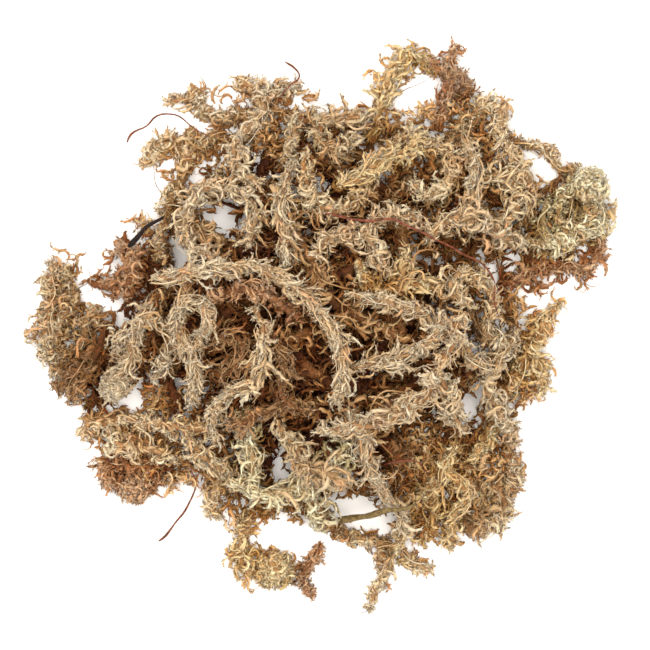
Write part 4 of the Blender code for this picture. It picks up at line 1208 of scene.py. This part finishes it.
# %% Build the loose branches
# Openings near the rim with loose branches in them: x, y and radius
OPENINGS = (
    (28.8, -32.6, 5), (52, -43, 5), (-8, -57, 4), (14, -50, 3), (-32, -35, 4), (-49.6, -47.7, 4),
    (-41.6, -45, 4), (-17.6, 62.7, 5), (51, 59.5, 5), (48, 22, 4), (59, 8.3, 5), (64, -20.5, 4),
    (-54, -21.5, 5), (-59, 34, 3), (23, 66, 4), (33.4, -29.3, 3.5), (33, -36.8, 3), (24, -45, 4),
    (29, -48, 4), (31, -59, 3), (47.5, -45.5, 3), (24, 53, 4), (31, 50, 4), (54, 42.5, 4),
    (42.6, 43.2, 3), (36, 28, 4), (45, 25, 4), (65.6, 35, 2.5),
    (32, 69, 4), (41.6, 71, 3), (8, -51, 3),
)
# They keep the undergrowth's tint: older brown, and painted shade for lying low in the clump
LOOSE = {**UNDERGROWTH, "length": (4, 8), "fine": 0.15}
# Loose branches on each square millimetre of an opening, and of the inside of the clump
LOOSE_IN_OPENING = 0.5
LOOSE_INSIDE = 0.12
INSIDE_MARGIN = 5
INSIDE_COVER = 0.93
HIGHEST_LOOSE = 6.0


def strew(solid, places, rng):
    """Branches that lie any way near places on the table, up to HIGHEST_LOOSE over it."""
    count = len(places)
    roots = np.column_stack([places, rng.uniform(LOWEST_ROOT, HIGHEST_LOOSE, count)])
    heading = unit(rng.normal(size=(count, 3)) * np.array([1, 1, 0.3]))
    roots = roots - heading * 3
    roots[:, 2] = np.maximum(roots[:, 2], LOWEST_ROOT)
    bend = unit(np.cross(heading, rng.normal(size=(count, 3)) * np.array([0.4, 0.4, 1])))
    add_branches(solid, roots, heading, bend, LOOSE, "straw", rng)


loose = Solid()
rng = seeded("loose branches")
covered = blurred((heap.top > 0).astype(float), INSIDE_MARGIN)
inside = heap.axis[np.argwhere(covered > INSIDE_COVER)]
chosen = rng.choice(len(inside), int(LOOSE_INSIDE * len(inside)))
strew(loose, inside[chosen] + rng.uniform(-0.5, 0.5, (len(chosen), 2)), rng)
for x, y, radius in OPENINGS:
    count = int(LOOSE_IN_OPENING * math.pi * radius ** 2)
    angle = rng.uniform(0, 2 * math.pi, count)
    reach = radius * np.sqrt(rng.random(count))
    strew(loose, np.column_stack([x + reach * np.cos(angle), y + reach * np.sin(angle)]), rng)
piece = loose.piece("loose_branches", materials["straw"])
print(f"loose branches: {loose.triangles()} triangles, in {len(OPENINGS)} openings and the inside")

# %% [markdown]
# ## Roots and twigs
# Sphagnum is gathered with the roots of heather and sedge in it: dark, red-brown and wiry,
# with a slight gloss. A dead twig has lost its bark and is olive brown, with grooves along it.

# %% Wood materials
def wood_material(name, light, dark, roughness, grain):
    """Bark or bare wood: two tones mixed by noise, with a grain in mm.

    Real scales of bark are a quarter of that size, and would be too fine to show.
    """
    material, tree, shader, noise = dry_material(name, grain, 4.0, 0.2, roughness)
    ramp = add_node(tree, "ShaderNodeValToRGB", {}, {"Fac": noise.outputs["Fac"]})
    for element, position, code in zip(ramp.color_ramp.elements, (0.35, 0.7), (dark, light)):
        element.position = position
        element.color = (*linear(code), 1)
    tree.links.new(ramp.outputs["Color"], shader.inputs["Base Color"])
    return material


wood = {
    # Thin bark that dried on a heather root: red-brown from tannin, with a slight gloss
    "root": wood_material("heather_root_bark", "#8A4A32", "#48200F", 0.5, 1.2),
    # Heather wood that lost its bark and weathered: olive brown, matt and uneven
    "twig": wood_material("bare_dead_twig", "#8A7448", "#4E3A20", 0.65, 1.0),
    # Sedge roots dried to a thread: dull brown
    "hair": wood_material("dry_hair_root", "#7E6046", "#3C2A1C", 0.7, 1.0),
    # Bark charred in a heath fire: nearly black, and the mattest of all
    "bark": wood_material("charred_bark", "#2E2019", "#0E0907", 0.85, 0.8),
}

# %% Build the roots and twigs
WOOD_GIRTH = {"root": 0.72, "twig": 1.0, "bark": 0.75}
WOOD_SIDES = 8
# The wood's shader doesn't read the colour of its mesh
WOOD_COLOUR = np.full(3, 0.1)
for name, (finish, radius, tier, route) in WIRES.items():
    rng = seeded(name + " wood")
    path = laid[name][0]
    rings = len(path)
    taper = np.interp(np.linspace(0, 1, rings), [0, 0.06, 0.6, 1], [0.6, 1.0, 0.8, 0.35])
    knots = 1 + 0.12 * np.sin(np.arange(rings) * 0.9) + rng.normal(0, 0.06, rings)
    radii = WOOD_GIRTH[finish] * radius * (taper * knots)[:, None]
    points, faces = one_tube(path, radii * rng.uniform(0.88, 1.1, WOOD_SIDES))
    solid = Solid()
    solid.add(points, WOOD_COLOUR, faces)
    piece = solid.piece(name + "_wood", wood[finish], name)
print(f"{len(WIRES)} roots and twigs")

# %% [markdown]
# A few hair roots and bare stem ends stick out of the rim. Each is a thread of a third of a
# millimetre, from inside a strand to its free tip, and lies low over the table.

# %% Build the hairs
HAIRS = (
    ((-50, 43), (-53, 45), (-55, 49), (-56, 54)),
    ((-41, 70), (-39, 75), (-38.4, 79.7), (-40.6, 82.6), (-44, 83.8)),
    ((-20, 73), (-23.4, 76), (-26, 77), (-28.4, 76.2), (-29, 73)),
    ((-83, 10), (-81, 12.8), (-76.8, 15.4), (-74.2, 17.3), (-77, 20.5)),
    ((-88.6, 12), (-88.3, 17), (-87.4, 21), (-87.7, 24.5)),
    ((-82, 11), (-82.9, 15.7), (-84.6, 19), (-84.8, 22)),
    ((61, -8), (67.2, -9.6), (72, -9.9), (76.2, -8.3)),
    ((-22, -49), (-26.2, -51.5), (-30.4, -56.3), (-31.4, -62.7)),
    ((17, -86), (15, -89.6), (13.1, -91.5), (11.2, -90.9)),
    ((21, 74), (25.6, 77.4), (29.4, 79.7), (32.6, 81.3)),
)
HAIR_RADIUS = 0.17
HAIR_WANDER = 0.25
HAIR_SIDES = 5


def add_hair(solid, route, rng):
    """A thread through the route's points: radius HAIR_RADIUS, half of that at the tip."""
    flat = smooth_route(route, HAIR_WANDER, rng)
    rings = len(flat)
    height = 1.6 + 1.2 * np.sin(np.linspace(0.3, 2.8, rings)) * rng.uniform(0.4, 1)
    path = np.column_stack([flat, height])
    taper = HAIR_RADIUS * np.linspace(1, 0.5, rings) * rng.uniform(0.8, 1.2, rings)
    points, faces = one_tube(path, np.repeat(taper[:, None], HAIR_SIDES, axis=1))
    solid.add(points, WOOD_COLOUR, faces)


hairs = Solid()
for number, route in enumerate(HAIRS):
    add_hair(hairs, route, seeded(f"hair {number}"))
piece = hairs.piece("fine_hair_roots", wood["hair"])
print(f"{len(HAIRS)} hair roots")

# %% [markdown]
# ## Floor, light and camera
# The clump lies on a pale, slightly warm table. A large lamp overhead gives most of the light,
# a key light from the upper left shapes the strands, and a fill light from the lower right
# softens their shadows. The camera looks straight down, as it did for the photograph.

# %% Floor and light
def studio_floor():
    """A matt table top with a thin, warm off-white paint, much wider than the clump."""
    bpy.ops.mesh.primitive_plane_add(size=4)
    floor = bpy.context.object
    floor.name = "white_table"
    material = bpy.data.materials.new("white_table_top")
    material.use_nodes = True
    shader = material.node_tree.nodes["Principled BSDF"]
    shader.inputs["Base Color"].default_value = (0.88, 0.83, 0.77, 1)
    shader.inputs["Roughness"].default_value = 0.7
    floor.data.materials.append(material)


def soft_light(name, place, size, power):
    """A square area light that faces the middle of the clump."""
    light = bpy.data.lights.new(name, "AREA")
    light.size = size
    light.energy = power
    thing = bpy.data.objects.new(name, light)
    thing.location = place
    x, y, z = (-value for value in place)
    thing.rotation_euler = (0, -math.atan2(math.hypot(x, y), -z), math.atan2(y, x))
    bpy.context.scene.collection.objects.link(thing)


# Name, place and size in metres, and power in watts
LIGHTS = (
    ("key_light", (-0.7, 0.7, 1.1), 1.0, 10),
    ("fill_light", (0.8, -0.5, 1.2), 1.4, 5),
    ("top_light", (0.0, 0.0, 1.6), 1.2, 32),
)
SKY_STRENGTH = 0.6
studio_floor()
for light in LIGHTS:
    soft_light(*light)
world = bpy.data.worlds.new("studio")
world.use_nodes = True
sky = world.node_tree.nodes["Background"]
sky.inputs["Color"].default_value = (1, 1, 1, 1)
sky.inputs["Strength"].default_value = SKY_STRENGTH
scene = bpy.context.scene
scene.world = world
scene.view_settings.view_transform = "Standard"
scene.view_settings.look = "None"
print(f"{len(LIGHTS)} lights")

# %% Camera
# The photograph is PIXELS wide, and a pixel stands for PIXEL_MM at the height SCALE_HEIGHT
CAMERA_HEIGHT = 0.9
SCALE_HEIGHT = 0.012
SENSOR = 36
PIXELS = 650
PIXEL_MM = 0.32
PICTURE_MIDDLE = (0.0, 1.92)
camera = bpy.data.cameras.new("overhead_camera")
camera.sensor_width = SENSOR
camera.lens = SENSOR * (CAMERA_HEIGHT - SCALE_HEIGHT) / (PIXELS * PIXEL_MM * MM)
camera_thing = bpy.data.objects.new("overhead_camera", camera)
camera_x, camera_y = ((middle + shift) * MM for middle, shift in zip(PICTURE_MIDDLE, CENTRING))
camera_thing.location = (camera_x, camera_y, CAMERA_HEIGHT)
scene.collection.objects.link(camera_thing)
scene.camera = camera_thing
print(f"the camera stands {CAMERA_HEIGHT:.2f} m over the table")
